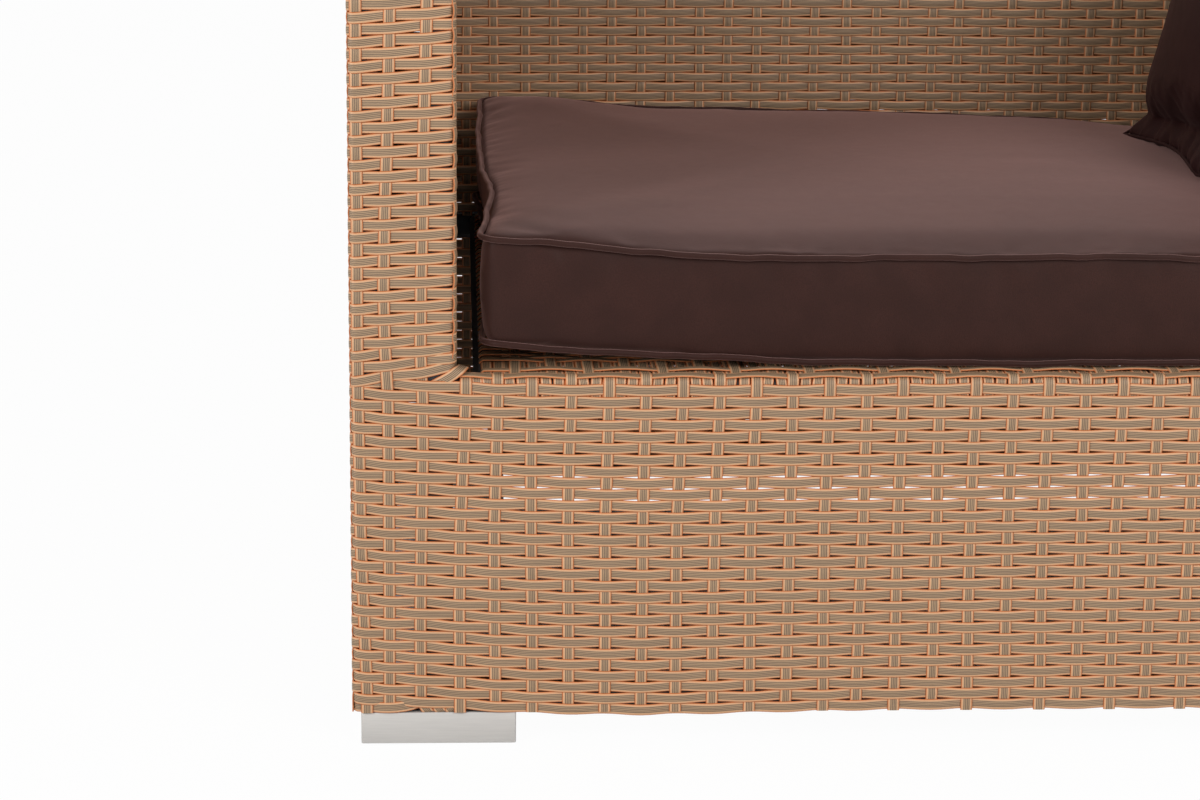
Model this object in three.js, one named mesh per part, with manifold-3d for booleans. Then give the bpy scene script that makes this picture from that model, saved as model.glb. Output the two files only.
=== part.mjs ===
// A woven garden sofa for two: a welded tube frame, woven skins of flat plastic rattan over it,
// four aluminium feet, a boxed seat cushion with piping and a zip, and one loose pillow.
// Millimetres, +Z up, front towards -Y. The origin is on the floor, under the middle of the sofa.
import * as THREE from "three";
import { mergeVertices } from "three/addons/utils/BufferGeometryUtils.js";
import Module from "manifold-3d";

const wasm = await Module();
wasm.setup();

// Overall sizes
const overallWidth = 1100;
const overallDepth = 780;
const overallHeight = 703;
const armWidth = 90;
const backThickness = 90;
const deckHeight = 327;

// Clearances
const seatGap = 0.3;
const cutOverrun = 2;
const weldTolerance = 0.0001;

// Woven skin
const skinThickness = 3.3;
const rowPitch = 10.05;
const grooveWidth = 2.2;
const grooveDepth = 1.2;
const edgeRadius = 8;
const edgeSteps = 3;
const borderReturn = 30;
const deckSideSlot = 14;

// Frame tube
const tubeSize = 25;
const tubeWall = 1.5;

// Feet
const footLength = 132.5;
const footDepth = 60;
const footHeight = 29;
const footWall = 3;
const footEndInset = 8;
const footFaceInset = 2;
const glideThickness = 5;
const glideProud = 1;
const glideClearance = 0.3;

// Foot bolt
const boltRadius = 4;
const boltHeadRadius = 6.5;
const boltHeadHeight = 5;
const boltReach = 14;
const boltHoleClearance = 0.4;
const boltSides = 12;

// Seat cushion
const cushionSideGap = 17;
const cushionFrontInset = 15;
const cushionRearGap = 8;
const cushionEdgeHeight = 96;
const cushionCrown = 20;
const cushionCornerRadius = 30;
const cushionPullIn = 9;
const cushionBaseLift = 20;
const cushionTopLift = 14;
const weighedDownShare = 0.3;
const pipingRadius = 3;
const pipingOverlap = 1;

// Zip on the cushion's rear wall
const zipMargin = 200;
const zipTapeWidth = 24;
const zipTapeThickness = 1;
const zipSliderLength = 14;
const zipSliderWidth = 9;
const zipSliderHeight = 2.4;
const zipBridgeLength = 9;
const zipBridgeWidth = 2.6;
const zipBridgeHeight = 1.2;

// Pillow
const pillowSize = 450;
const pillowThickness = 180;
const pillowPullIn = 20;
const pillowEdgeThickness = 5;
const pillowLean = 22;
const pillowTurn = 8;
const pillowBackset = 75;
const settlingSteps = 10;
const settlingRounds = 2;

// Deck bars
const seatBarCount = 2;

// Values that follow
const skinSeat = skinThickness + seatGap;
const tubeCorner = edgeRadius - skinSeat;
const halfWidth = overallWidth / 2;
const halfDepth = overallDepth / 2;
const frameLeft = -halfWidth + skinSeat;
const frameFront = -halfDepth + skinSeat;
const frameRear = halfDepth - skinSeat;
const frameTop = overallHeight - skinSeat;
const frameBottom = footHeight + seatGap;
const armFace = -halfWidth + armWidth;
const backFace = halfDepth - backThickness;
const armTubeInner = armFace - skinSeat;
const backTubeFront = backFace + skinSeat;
const deckTubeTop = deckHeight - skinSeat;
const deckUnderside = deckHeight - skinThickness;
const postTop = frameTop - tubeSize - seatGap;
const deckLeft = armFace + deckSideSlot;
const apronTop = deckHeight - edgeRadius - seatGap;

const rattan = new THREE.MeshStandardMaterial({ color: 0xc09a74, roughness: 0.5, metalness: 0 });
const framePaint = new THREE.MeshStandardMaterial({ color: 0x3a3a3c, roughness: 0.5, metalness: 0.4 });
const aluminium = new THREE.MeshStandardMaterial({ color: 0xc3c0bb, roughness: 0.4, metalness: 0.9 });
const glidePlastic = new THREE.MeshStandardMaterial({ color: 0x1c1c1c, roughness: 0.7, metalness: 0 });
const zincSteel = new THREE.MeshStandardMaterial({ color: 0x9a9da0, roughness: 0.35, metalness: 1 });
const cushionSatin = new THREE.MeshStandardMaterial({ color: 0x5a403c, roughness: 0.55, metalness: 0 });
const pillowSatin = new THREE.MeshStandardMaterial({ color: 0x452e2c, roughness: 0.55, metalness: 0 });
const zipTape = new THREE.MeshStandardMaterial({ color: 0x3c2926, roughness: 0.8, metalness: 0 });

// Solids for joining and cutting
function solidOf(geometry) {
  const bare = new THREE.BufferGeometry();
  const flat = geometry.index ? geometry.toNonIndexed() : geometry;
  bare.setAttribute("position", flat.getAttribute("position").clone());
  const merged = mergeVertices(bare, weldTolerance);
  return new wasm.Manifold(
    new wasm.Mesh({
      numProp: 3,
      vertProperties: merged.attributes.position.array,
      triVerts: new Uint32Array(merged.index.array),
    }),
  );
}

function geometryOf(solid) {
  const mesh = solid.getMesh();
  const geometry = new THREE.BufferGeometry();
  const positions = new Float32Array(mesh.numVert * 3);
  for (let i = 0; i < mesh.numVert; i += 1) {
    positions.set(mesh.vertProperties.subarray(i * mesh.numProp, i * mesh.numProp + 3), i * 3);
  }
  geometry.setAttribute("position", new THREE.BufferAttribute(positions, 3));
  geometry.setIndex(new THREE.BufferAttribute(mesh.triVerts, 1));
  geometry.computeVertexNormals();
  return geometry;
}

// A box between two corners
function boxBetween(low, high) {
  const size = high.map((value, i) => value - low[i]);
  const geometry = new THREE.BoxGeometry(...size);
  return geometry.translate(...low.map((value, i) => value + size[i] / 2));
}

function named(name, geometry, material) {
  const mesh = new THREE.Mesh(geometry, material);
  mesh.name = name;
  return mesh;
}

// A square tube's section, its corners cut back to clear the skin's rounded edges
function tubeShape() {
  const half = tubeSize / 2;
  const cut = half - tubeCorner;
  const bore = half - tubeWall;
  const shape = new THREE.Shape([
    new THREE.Vector2(-cut, -half),
    new THREE.Vector2(cut, -half),
    new THREE.Vector2(half, -cut),
    new THREE.Vector2(half, cut),
    new THREE.Vector2(cut, half),
    new THREE.Vector2(-cut, half),
    new THREE.Vector2(-half, cut),
    new THREE.Vector2(-half, -cut),
  ]);
  const hole = bore - tubeCorner + tubeWall;
  shape.holes.push(
    new THREE.Path([
      new THREE.Vector2(-hole, -bore),
      new THREE.Vector2(-bore, -hole),
      new THREE.Vector2(-bore, hole),
      new THREE.Vector2(-hole, bore),
      new THREE.Vector2(hole, bore),
      new THREE.Vector2(bore, hole),
      new THREE.Vector2(bore, -hole),
      new THREE.Vector2(hole, -bore),
    ]),
  );
  return shape;
}

// A tube from start to end along one axis. low is the low corner of its section on the other two.
function tubeGeometry(axis, start, end, low) {
  const tube = new THREE.ExtrudeGeometry(tubeShape(), { depth: end - start, bevelEnabled: false });
  const centre = low.map((value) => value + tubeSize / 2);
  if (axis === "x") {
    return tube.rotateX(Math.PI / 2).rotateZ(Math.PI / 2).translate(start, centre[0], centre[1]);
  }
  if (axis === "y") {
    return tube.rotateX(-Math.PI / 2).translate(centre[0], start, centre[1]);
  }
  return tube.translate(centre[0], centre[1], start);
}

function tube(name, axis, start, end, low) {
  return named(name, tubeGeometry(axis, start, end, low), framePaint);
}

// The profile of a woven skin across its rows: x along the wall, y outwards, with y 0 at the face.
// Each row of strand is a flat crest between two grooves. roundStart and roundEnd turn the skin
// through a quarter circle there, so that it runs on to the next face.
function skinProfile(start, end, roundStart, roundEnd) {
  const flatStart = roundStart ? start + edgeRadius : start;
  const flatEnd = roundEnd ? end - edgeRadius : end;
  const rows = Math.max(1, Math.round((flatEnd - flatStart) / rowPitch));
  const pitch = (flatEnd - flatStart) / rows;
  const points = [];
  const arc = (centreX, radius, from, to) => {
    for (let i = 0; i <= edgeSteps; i += 1) {
      const angle = from + ((to - from) * i) / edgeSteps;
      points.push([centreX + radius * Math.cos(angle), -edgeRadius + radius * Math.sin(angle)]);
    }
  };
  if (roundStart) {
    arc(flatStart, edgeRadius, Math.PI, Math.PI / 2);
  } else {
    points.push([flatStart, -skinThickness], [flatStart, 0]);
  }
  for (let row = 0; row < rows; row += 1) {
    const low = flatStart + row * pitch;
    if (row > 0) {
      points.push([low, -grooveDepth], [low + grooveWidth / 2, 0]);
    }
    if (row < rows - 1) {
      points.push([low + pitch - grooveWidth / 2, 0]);
    }
  }
  if (roundEnd) {
    arc(flatEnd, edgeRadius, Math.PI / 2, 0);
    arc(flatEnd, edgeRadius - skinThickness, 0, Math.PI / 2);
  } else {
    points.push([flatEnd, 0], [flatEnd, -skinThickness]);
  }
  if (roundStart) {
    arc(flatStart, edgeRadius - skinThickness, Math.PI / 2, Math.PI);
  }
  return new THREE.Shape(points.map((p) => new THREE.Vector2(p[0], p[1])));
}

// A skin whose profile is swept straight for a length, then turned by the basis that the face has.
function skinGeometry(profile, length, along, outwards, sweep, origin) {
  const geometry = new THREE.ExtrudeGeometry(profile, { depth: length, bevelEnabled: false });
  const basis = new THREE.Matrix4().makeBasis(along, outwards, sweep);
  basis.setPosition(origin);
  return geometry.applyMatrix4(basis);
}

const axisX = new THREE.Vector3(1, 0, 0);
const axisY = new THREE.Vector3(0, 1, 0);
const axisZ = new THREE.Vector3(0, 0, 1);
const back = (axis) => axis.clone().negate();

// A vertical wall of skin facing front, rear, left or right. sweepStart and sweepEnd are its ends.
function wallSkin(facing, face, sweepStart, sweepEnd, bottom, top, roundTop) {
  const profile = skinProfile(bottom, top, false, roundTop);
  const length = sweepEnd - sweepStart;
  const place = {
    front: [axisZ, back(axisY), axisX, new THREE.Vector3(sweepStart, face, 0)],
    rear: [axisZ, axisY, back(axisX), new THREE.Vector3(sweepEnd, face, 0)],
    left: [axisZ, back(axisX), back(axisY), new THREE.Vector3(face, sweepEnd, 0)],
    right: [axisZ, axisX, axisY, new THREE.Vector3(face, sweepStart, 0)],
  }[facing];
  return skinGeometry(profile, length, place[0], place[1], place[2], place[3]);
}

// A quarter ring of skin standing on end, where two walls meet
function cornerColumn(centreX, centreY, quarter, bottom, top) {
  const shape = new THREE.Shape();
  const from = (quarter * Math.PI) / 2;
  const to = from + Math.PI / 2;
  shape.absarc(0, 0, edgeRadius, from, to, false);
  shape.absarc(0, 0, edgeRadius - skinThickness, to, from, true);
  const column = new THREE.ExtrudeGeometry(shape, {
    depth: top - bottom,
    bevelEnabled: false,
    curveSegments: edgeSteps,
  });
  return column.translate(centreX, centreY, bottom);
}

// An eighth of a hollow ball, where two walls and the top meet
function cornerCap(centreX, centreY, quarter) {
  const quarterSides = edgeSteps * 4;
  const ball = (radius) => new THREE.SphereGeometry(radius, quarterSides, quarterSides / 2);
  const shell = solidOf(ball(edgeRadius)).subtract(solidOf(ball(edgeRadius - skinThickness)));
  const signX = quarter === 1 || quarter === 2 ? -1 : 1;
  const signY = quarter === 2 || quarter === 3 ? -1 : 1;
  const reach = [signX * edgeRadius * 2, signY * edgeRadius * 2, edgeRadius * 2];
  const low = reach.map((value) => Math.min(0, value));
  const high = reach.map((value) => Math.max(0, value));
  const eighth = shell.intersect(solidOf(boxBetween(low, high)));
  return eighth.translate([centreX, centreY, overallHeight - edgeRadius]);
}

// A side wall with its rounded upright corners. Each corner is [x, y, quarter].
function cornered(wall, corners, bottom) {
  const top = overallHeight - edgeRadius;
  return corners.reduce((solid, [x, y, quarter]) => {
    const column = solidOf(cornerColumn(x, y, quarter, bottom, top));
    return solid.add(column).add(cornerCap(x, y, quarter));
  }, solidOf(wall));
}

// One arm, built on the left. The right arm is the same group mirrored.
function armSkins(side) {
  const arm = new THREE.Group();
  const outerX = -halfWidth + edgeRadius;
  const frontY = -halfDepth + edgeRadius;
  const rearY = halfDepth - edgeRadius;
  const innerX = armFace - edgeRadius;
  const armBottom = apronTop + seatGap;

  const outerWall = wallSkin("left", -halfWidth, frontY, rearY, frameBottom, overallHeight, true);
  const outer = cornered(outerWall, [[outerX, frontY, 2], [outerX, rearY, 1]], frameBottom);
  arm.add(named(`${side}_arm_outer_weave`, geometryOf(outer), rattan));

  const innerEnd = backFace - seatGap;
  const innerWall = wallSkin("right", armFace, frontY, innerEnd, deckUnderside, overallHeight, true);
  const railLow = [armTubeInner, frameFront - seatGap, armBottom - cutOverrun];
  const railHigh = [armFace + cutOverrun, frontY + cutOverrun, deckUnderside];
  const railNotch = solidOf(boxBetween(railLow, railHigh));
  const inner = cornered(innerWall, [[innerX, frontY, 3]], armBottom).subtract(railNotch);
  arm.add(named(`${side}_arm_inner_weave`, geometryOf(inner), rattan));

  const faceStart = outerX + seatGap;
  const faceEnd = innerX - seatGap;
  const face = wallSkin("front", -halfDepth, faceStart, faceEnd, armBottom, overallHeight, true);
  arm.add(named(`${side}_arm_front_weave`, face, rattan));

  const topProfile = skinProfile(faceStart, faceEnd, false, false);
  const topStart = frontY + seatGap;
  const topLength = rearY - seatGap - topStart;
  const topOrigin = new THREE.Vector3(0, rearY - seatGap, overallHeight);
  const top = skinGeometry(topProfile, topLength, axisX, axisZ, back(axisY), topOrigin);
  arm.add(named(`${side}_arm_top_weave`, top, rattan));
  return arm;
}

// The posts and rails of one arm, built on the left
function armFrame(side) {
  const arm = new THREE.Group();
  const outerRear = frameRear - tubeSize;
  const innerLow = armTubeInner - tubeSize;
  const railStart = -halfDepth + edgeRadius + seatGap;
  const railLevel = deckTubeTop - tubeSize;
  const afterPost = frameFront + tubeSize + seatGap;
  const onBottomRail = frameBottom + tubeSize + seatGap;
  const topLevel = frameTop - tubeSize;
  const beforeBack = backTubeFront - seatGap;

  arm.add(tube(`${side}_front_outer_post`, "z", frameBottom, postTop, [frameLeft, frameFront]));
  arm.add(tube(`${side}_rear_outer_post`, "z", frameBottom, postTop, [frameLeft, outerRear]));
  arm.add(tube(`${side}_front_inner_post`, "z", onBottomRail, postTop, [innerLow, frameFront]));
  const rearInner = [innerLow, backTubeFront];
  arm.add(tube(`${side}_rear_inner_post`, "z", deckUnderside, postTop, rearInner));
  const bottomEnd = outerRear - seatGap;
  arm.add(tube(`${side}_bottom_rail`, "y", afterPost, bottomEnd, [frameLeft, frameBottom]));
  arm.add(tube(`${side}_side_mid_rail`, "y", afterPost, bottomEnd, [frameLeft, railLevel]));
  arm.add(tube(`${side}_arm_inner_rail`, "y", afterPost, beforeBack, [innerLow, railLevel]));
  arm.add(tube(`${side}_deck_rail`, "y", afterPost, beforeBack, [deckLeft, railLevel]));
  arm.add(tube(`${side}_arm_outer_top_rail`, "y", railStart, -railStart, [frameLeft, topLevel]));
  arm.add(tube(`${side}_arm_inner_top_rail`, "y", railStart, beforeBack, [innerLow, topLevel]));
  return arm;
}

// The bolt hole's place along a bottom rail, and the foot's own
const footCentreX = -halfWidth + footEndInset + footLength / 2;
const footCentreY = -halfDepth + footFaceInset + footDepth / 2;
const boltCentreY = frameFront + tubeSize / 2;

function boltHole(x, y) {
  const radius = boltRadius + boltHoleClearance;
  const depth = frameBottom + tubeWall + cutOverrun;
  const hole = new THREE.CylinderGeometry(radius, radius, depth * 2, boltSides);
  return solidOf(hole.rotateX(Math.PI / 2).translate(x, y, 0));
}

// A bottom rail across the width, drilled through its lower wall for the two foot bolts
function drilledRail(name, y, boltY) {
  const start = frameLeft + tubeSize + seatGap;
  const rail = solidOf(tubeGeometry("x", start, -start, [y, frameBottom]));
  const drilled = rail.subtract(boltHole(footCentreX, boltY)).subtract(boltHole(-footCentreX, boltY));
  return named(name, geometryOf(drilled), framePaint);
}

// The rails and posts that cross the sofa
function crossFrame() {
  const group = new THREE.Group();
  const railLevel = deckTubeTop - tubeSize;
  const topLevel = frameTop - tubeSize;
  const insideOuter = frameLeft + tubeSize + seatGap;
  const insideArm = armTubeInner + seatGap;
  const outerRear = frameRear - tubeSize;
  const middle = -tubeSize / 2;

  group.add(drilledRail("bottom_front_rail", frameFront, boltCentreY));
  group.add(drilledRail("bottom_rear_rail", outerRear, -boltCentreY));
  group.add(tube("seat_front_rail", "x", insideArm, -insideArm, [frameFront, railLevel]));
  group.add(tube("seat_rear_rail", "x", insideOuter, -insideOuter, [backTubeFront, railLevel]));
  group.add(tube("back_inner_top_rail", "x", insideOuter, -insideOuter, [backTubeFront, topLevel]));
  group.add(tube("back_outer_top_rail", "x", insideOuter, -insideOuter, [outerRear, topLevel]));
  group.add(tube("back_mid_post", "z", deckUnderside, postTop, [middle, backTubeFront]));

  const barStart = frameFront + tubeSize + seatGap;
  const barEnd = backTubeFront - seatGap;
  const innerEdge = deckLeft + tubeSize;
  const bay = (-2 * innerEdge) / (seatBarCount + 1);
  for (let i = 1; i <= seatBarCount; i += 1) {
    const low = innerEdge + bay * i - tubeSize / 2;
    group.add(tube(`seat_bar_${i}`, "y", barStart, barEnd, [low, railLevel]));
  }
  return group;
}

// The skins that run across the sofa
function crossSkins() {
  const group = new THREE.Group();
  const frontStart = -halfWidth + edgeRadius + seatGap;
  const apron = wallSkin("front", -halfDepth, frontStart, -frontStart, frameBottom, apronTop, false);
  group.add(named("front_apron_weave", apron, rattan));

  const rear = wallSkin("rear", halfDepth, frontStart, -frontStart, frameBottom, overallHeight, true);
  group.add(named("rear_weave", rear, rattan));

  const innerStart = armFace - skinThickness;
  const inner = wallSkin("front", backFace, innerStart, -innerStart, deckUnderside, overallHeight, true);
  group.add(named("back_inner_weave", inner, rattan));

  const topStart = armFace - edgeRadius;
  const topFront = backFace + edgeRadius + seatGap;
  const topProfile = skinProfile(topFront, halfDepth - edgeRadius - seatGap, false, false);
  const topOrigin = new THREE.Vector3(topStart, 0, overallHeight);
  const top = skinGeometry(topProfile, -2 * topStart, axisY, axisZ, axisX, topOrigin);
  group.add(named("back_top_weave", top, rattan));

  // The deck turns down over the front rail, and stops short of the arms behind it.
  const deckStart = armFace + seatGap;
  const deckRear = backFace - seatGap;
  const deckProfile = skinProfile(-halfDepth, deckRear, true, false);
  const deckOrigin = new THREE.Vector3(deckStart, 0, deckHeight);
  const deck = skinGeometry(deckProfile, -2 * deckStart, axisY, axisZ, axisX, deckOrigin);
  const slotFront = -halfDepth + borderReturn;
  const slotLow = [deckStart - cutOverrun, slotFront, deckUnderside - cutOverrun];
  const slotHigh = [deckLeft, deckRear + cutOverrun, deckHeight + cutOverrun];
  const leftSlot = solidOf(boxBetween(slotLow, slotHigh));
  const rightSlot = leftSlot.mirror([1, 0, 0]);
  const slotted = solidOf(deck).subtract(leftSlot).subtract(rightSlot);
  group.add(named("seat_deck_weave", geometryOf(slotted), rattan));
  return group;
}

// One foot with its glide and bolt, in the left front corner. The others are mirrored from it.
function foot(place) {
  const group = new THREE.Group();
  const low = [footCentreX - footLength / 2, footCentreY - footDepth / 2, glideProud];
  const high = [footCentreX + footLength / 2, footCentreY + footDepth / 2, footHeight];
  const innerLow = [low[0] + footWall, low[1] + footWall, low[2] - cutOverrun];
  const innerHigh = [high[0] - footWall, high[1] - footWall, high[2] - footWall];
  const shell = solidOf(boxBetween(low, high))
    .subtract(solidOf(boxBetween(innerLow, innerHigh)))
    .subtract(boltHole(footCentreX, boltCentreY));
  group.add(named(`${place}_foot`, geometryOf(shell), aluminium));

  const glideLow = [innerLow[0] + glideClearance, innerLow[1] + glideClearance, 0];
  const glideHigh = [innerHigh[0] - glideClearance, innerHigh[1] - glideClearance, glideThickness];
  group.add(named(`${place}_glide`, boxBetween(glideLow, glideHigh), glidePlastic));

  const headTop = footHeight - footWall - seatGap;
  const profile = [
    new THREE.Vector2(0, headTop - boltHeadHeight),
    new THREE.Vector2(boltHeadRadius, headTop - boltHeadHeight),
    new THREE.Vector2(boltHeadRadius, headTop),
    new THREE.Vector2(boltRadius, headTop),
    new THREE.Vector2(boltRadius, footHeight + boltReach),
    new THREE.Vector2(0, footHeight + boltReach),
  ];
  const bolt = new THREE.LatheGeometry(profile, boltSides).rotateX(Math.PI / 2);
  group.add(named(`${place}_foot_bolt`, bolt.translate(footCentreX, boltCentreY, 0), zincSteel));
  return group;
}

// A closed skin from rings of equal length, with a point at each end
function closedLoft(rings, firstPole, lastPole) {
  const count = rings[0].length;
  const positions = [firstPole, ...rings.flat(), lastPole].flat();
  const at = (ring, i) => 1 + ring * count + (i % count);
  const last = 1 + rings.length * count;
  const faces = [];
  for (let i = 0; i < count; i += 1) {
    faces.push(0, at(0, i + 1), at(0, i));
    faces.push(last, at(rings.length - 1, i), at(rings.length - 1, i + 1));
    for (let ring = 0; ring + 1 < rings.length; ring += 1) {
      faces.push(at(ring, i), at(ring, i + 1), at(ring + 1, i));
      faces.push(at(ring, i + 1), at(ring + 1, i + 1), at(ring + 1, i));
    }
  }
  const geometry = new THREE.BufferGeometry();
  geometry.setAttribute("position", new THREE.Float32BufferAttribute(positions, 3));
  geometry.setIndex(faces);
  geometry.computeVertexNormals();
  return geometry;
}

const cushionHalfWidth = -armFace - cushionSideGap;
const cushionFront = -halfDepth + cushionFrontInset;
const cushionRear = backFace - cushionRearGap;
const cushionHalfDepth = (cushionRear - cushionFront) / 2;
const cushionCentreY = (cushionRear + cushionFront) / 2;
const cushionBottom = deckHeight + seatGap;
const cushionTop = cushionBottom + cushionEdgeHeight;

// How far the cushion curls up at a point along its length. The base curls in a long bow and the
// top only near its ends. The right end, with the pillow's weight on it, stays lower.
function curl(x, topShare) {
  const share = Math.abs(x) / cushionHalfWidth;
  const base = cushionBaseLift * share ** 2;
  const top = cushionTopLift * share ** 6;
  const sideShare = x > 0 ? weighedDownShare : 1;
  return (base + (top - base) * topShare) * sideShare;
}

// The cushion's outline at an inset, with its front and side walls drawn in between the corners
function cushionRing(inset, level, pullShare) {
  const cornerSteps = 4;
  const longSteps = 10;
  const shortSteps = 6;
  const across = cushionHalfWidth - inset;
  const deep = cushionHalfDepth - inset;
  const radius = Math.min(cushionCornerRadius, across, deep);
  const topShare = Math.min(1, (level - cushionBottom) / cushionEdgeHeight);
  const sides = [
    { steps: longSteps, from: [-1, -1], to: [1, -1], normal: [0, 1], pulls: 1 },
    { steps: shortSteps, from: [1, -1], to: [1, 1], normal: [-1, 0], pulls: 1 },
    { steps: longSteps, from: [1, 1], to: [-1, 1], normal: [0, -1], pulls: 0 },
    { steps: shortSteps, from: [-1, 1], to: [-1, -1], normal: [1, 0], pulls: 1 },
  ];
  const ring = [];
  sides.forEach((side, index) => {
    const alongX = side.to[0] !== side.from[0];
    const half = (alongX ? across : deep) - radius;
    const direction = alongX ? side.to[0] : side.to[1];
    for (let i = 0; i <= side.steps; i += 1) {
      const share = (2 * i) / side.steps - 1;
      const along = share * half * direction;
      const pull = cushionPullIn * pullShare * side.pulls * (1 - share * share);
      const x = alongX ? along : side.from[0] * across + side.normal[0] * pull;
      const y = alongX ? side.from[1] * deep + side.normal[1] * pull : along;
      ring.push([x, cushionCentreY + y, level + curl(x, topShare)]);
    }
    const cornerX = side.to[0] * (across - radius);
    const cornerY = side.to[1] * (deep - radius);
    const turn = ((index - 1) * Math.PI) / 2;
    for (let i = 1; i < cornerSteps; i += 1) {
      const angle = turn + (i / cornerSteps) * (Math.PI / 2);
      const x = cornerX + radius * Math.cos(angle);
      const y = cornerY + radius * Math.sin(angle);
      ring.push([x, cushionCentreY + y, level + curl(x, topShare)]);
    }
  });
  return ring;
}

// The wall between the two beads, set in behind them and a little fuller at mid height
const wallShares = [0.1, 0.35, 0.65, 0.9];
const wallFullnessShare = 0.45;
const wallInset = pipingRadius * 2 - pipingOverlap;

function wallInsetAt(share) {
  return wallInset * (1 - wallFullnessShare * Math.sin(share * Math.PI));
}

// The seat cushion: flat beneath, walls with a bead of piping along both edges, and a crowned top
function seatCushion() {
  const beadSteps = 4;
  const bead = (centreHeight) => {
    const rings = [];
    for (let i = 0; i <= beadSteps; i += 1) {
      const angle = -Math.PI / 2 + (i / beadSteps) * Math.PI;
      const inset = pipingRadius - pipingRadius * Math.cos(angle);
      rings.push(cushionRing(inset, centreHeight + pipingRadius * Math.sin(angle), 1));
    }
    return rings;
  };
  const lowBead = cushionBottom + pipingRadius;
  const highBead = cushionTop - pipingRadius;
  const wallLow = lowBead + pipingRadius;
  const wallHigh = highBead - pipingRadius;
  const walls = wallShares.map((share) => {
    return cushionRing(wallInsetAt(share), wallLow + (wallHigh - wallLow) * share, 1);
  });
  const crownShares = [0.06, 0.16, 0.32, 0.55, 0.8];
  const crown = crownShares.map((share) => {
    const rise = Math.sin(Math.sqrt(share) * (Math.PI / 2));
    return cushionRing(share * cushionHalfDepth, cushionTop + cushionCrown * rise, 1 - share);
  });
  const baseInset = cushionHalfDepth / 2;
  const rings = [
    cushionRing(baseInset, cushionBottom, 0),
    ...bead(lowBead),
    ...walls,
    ...bead(highBead),
    ...crown,
  ];
  const low = [0, cushionCentreY, cushionBottom];
  const high = [0, cushionCentreY, cushionTop + cushionCrown];
  return named("seat_cushion", closedLoft(rings, low, high), cushionSatin);
}

// The zip: its tape along the cushion's rear wall, and the slider with its bridge at the closed end
const zipMiddle = cushionBottom + cushionEdgeHeight / 2;
const zipHalf = cushionHalfWidth - zipMargin;

function zip() {
  const group = new THREE.Group();
  const face = cushionRear - wallInsetAt(wallShares[1]) + seatGap;
  const tapeLow = [-zipHalf, face, zipMiddle - zipTapeWidth / 2];
  const tapeHigh = [zipHalf, face + zipTapeThickness, zipMiddle + zipTapeWidth / 2];
  group.add(named("zip_tape", boxBetween(tapeLow, tapeHigh), zipTape));

  const sliderFace = face + zipTapeThickness + seatGap;
  const sliderEnd = zipHalf - zipSliderLength / 2;
  const bodyLow = [sliderEnd - zipSliderLength, sliderFace, zipMiddle - zipSliderWidth / 2];
  const bodyHigh = [sliderEnd, sliderFace + zipSliderHeight, zipMiddle + zipSliderWidth / 2];
  const bridgeFace = sliderFace + zipSliderHeight - seatGap;
  const bridgeMiddle = sliderEnd - zipSliderLength / 2;
  const bridgeLow = [bridgeMiddle - zipBridgeLength / 2, bridgeFace, zipMiddle - zipBridgeWidth / 2];
  const bridgeHigh = [
    bridgeMiddle + zipBridgeLength / 2,
    bridgeFace + zipBridgeHeight,
    zipMiddle + zipBridgeWidth / 2,
  ];
  const body = solidOf(boxBetween(bodyLow, bodyHigh));
  const slider = body.add(solidOf(boxBetween(bridgeLow, bridgeHigh)));
  group.add(named("zip_slider", geometryOf(slider), zincSteel));
  return group;
}

// The pillow: two crowned faces that meet in a seam, drawn in between its four pointed corners.
// Its own frame has x through its thickness and z up its face.
function pillowGeometry() {
  const steps = 14;
  const half = pillowSize / 2;
  const swellPower = 2.4;
  const fullnessPower = 0.62;
  const rimShare = 0.94;
  const rings = [];
  const ringShares = [0.28, 0.52, 0.72, 0.86, 0.95];
  const outline = [];
  for (let side = 0; side < 4; side += 1) {
    for (let i = 0; i < steps; i += 1) {
      const share = (2 * i) / steps - 1;
      const pull = (pillowPullIn / half) * (1 - share * share);
      const edge = [share, pull - 1];
      const angle = (side * Math.PI) / 2;
      const y = edge[0] * Math.cos(angle) - edge[1] * Math.sin(angle);
      const z = edge[0] * Math.sin(angle) + edge[1] * Math.cos(angle);
      outline.push([y, z]);
    }
  }
  const swell = (y, z) => {
    const across = 1 - Math.abs(y * rimShare) ** swellPower;
    const upright = 1 - Math.abs(z * rimShare) ** swellPower;
    return (pillowThickness / 2) * (across * upright) ** fullnessPower;
  };
  const ringAt = (share, sign) =>
    outline.map(([y, z]) => {
      const depth = Math.max(pillowEdgeThickness / 2, swell(y * share, z * share));
      return [sign * depth, y * share * half, z * share * half];
    });
  ringShares.forEach((share) => rings.push(ringAt(share, -1)));
  const seam = (sign) => outline.map(([y, z]) => [(sign * pillowEdgeThickness) / 2, y * half, z * half]);
  rings.push(seam(-1), seam(1));
  [...ringShares].reverse().forEach((share) => rings.push(ringAt(share, 1)));
  const pole = pillowThickness / 2;
  return closedLoft(rings, [-pole, 0, 0], [pole, 0, 0]);
}

// Moves a solid in a direction until only the seat gap is left between it and its neighbour. Each
// step is the shortest distance between the two, so it never overshoots.
function settled(solid, neighbour, direction) {
  let placed = solid;
  for (let step = 0; step < settlingSteps; step += 1) {
    const gap = placed.minGap(neighbour, overallWidth) - seatGap;
    placed = placed.translate(direction.map((value) => value * gap));
  }
  return placed;
}

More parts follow.
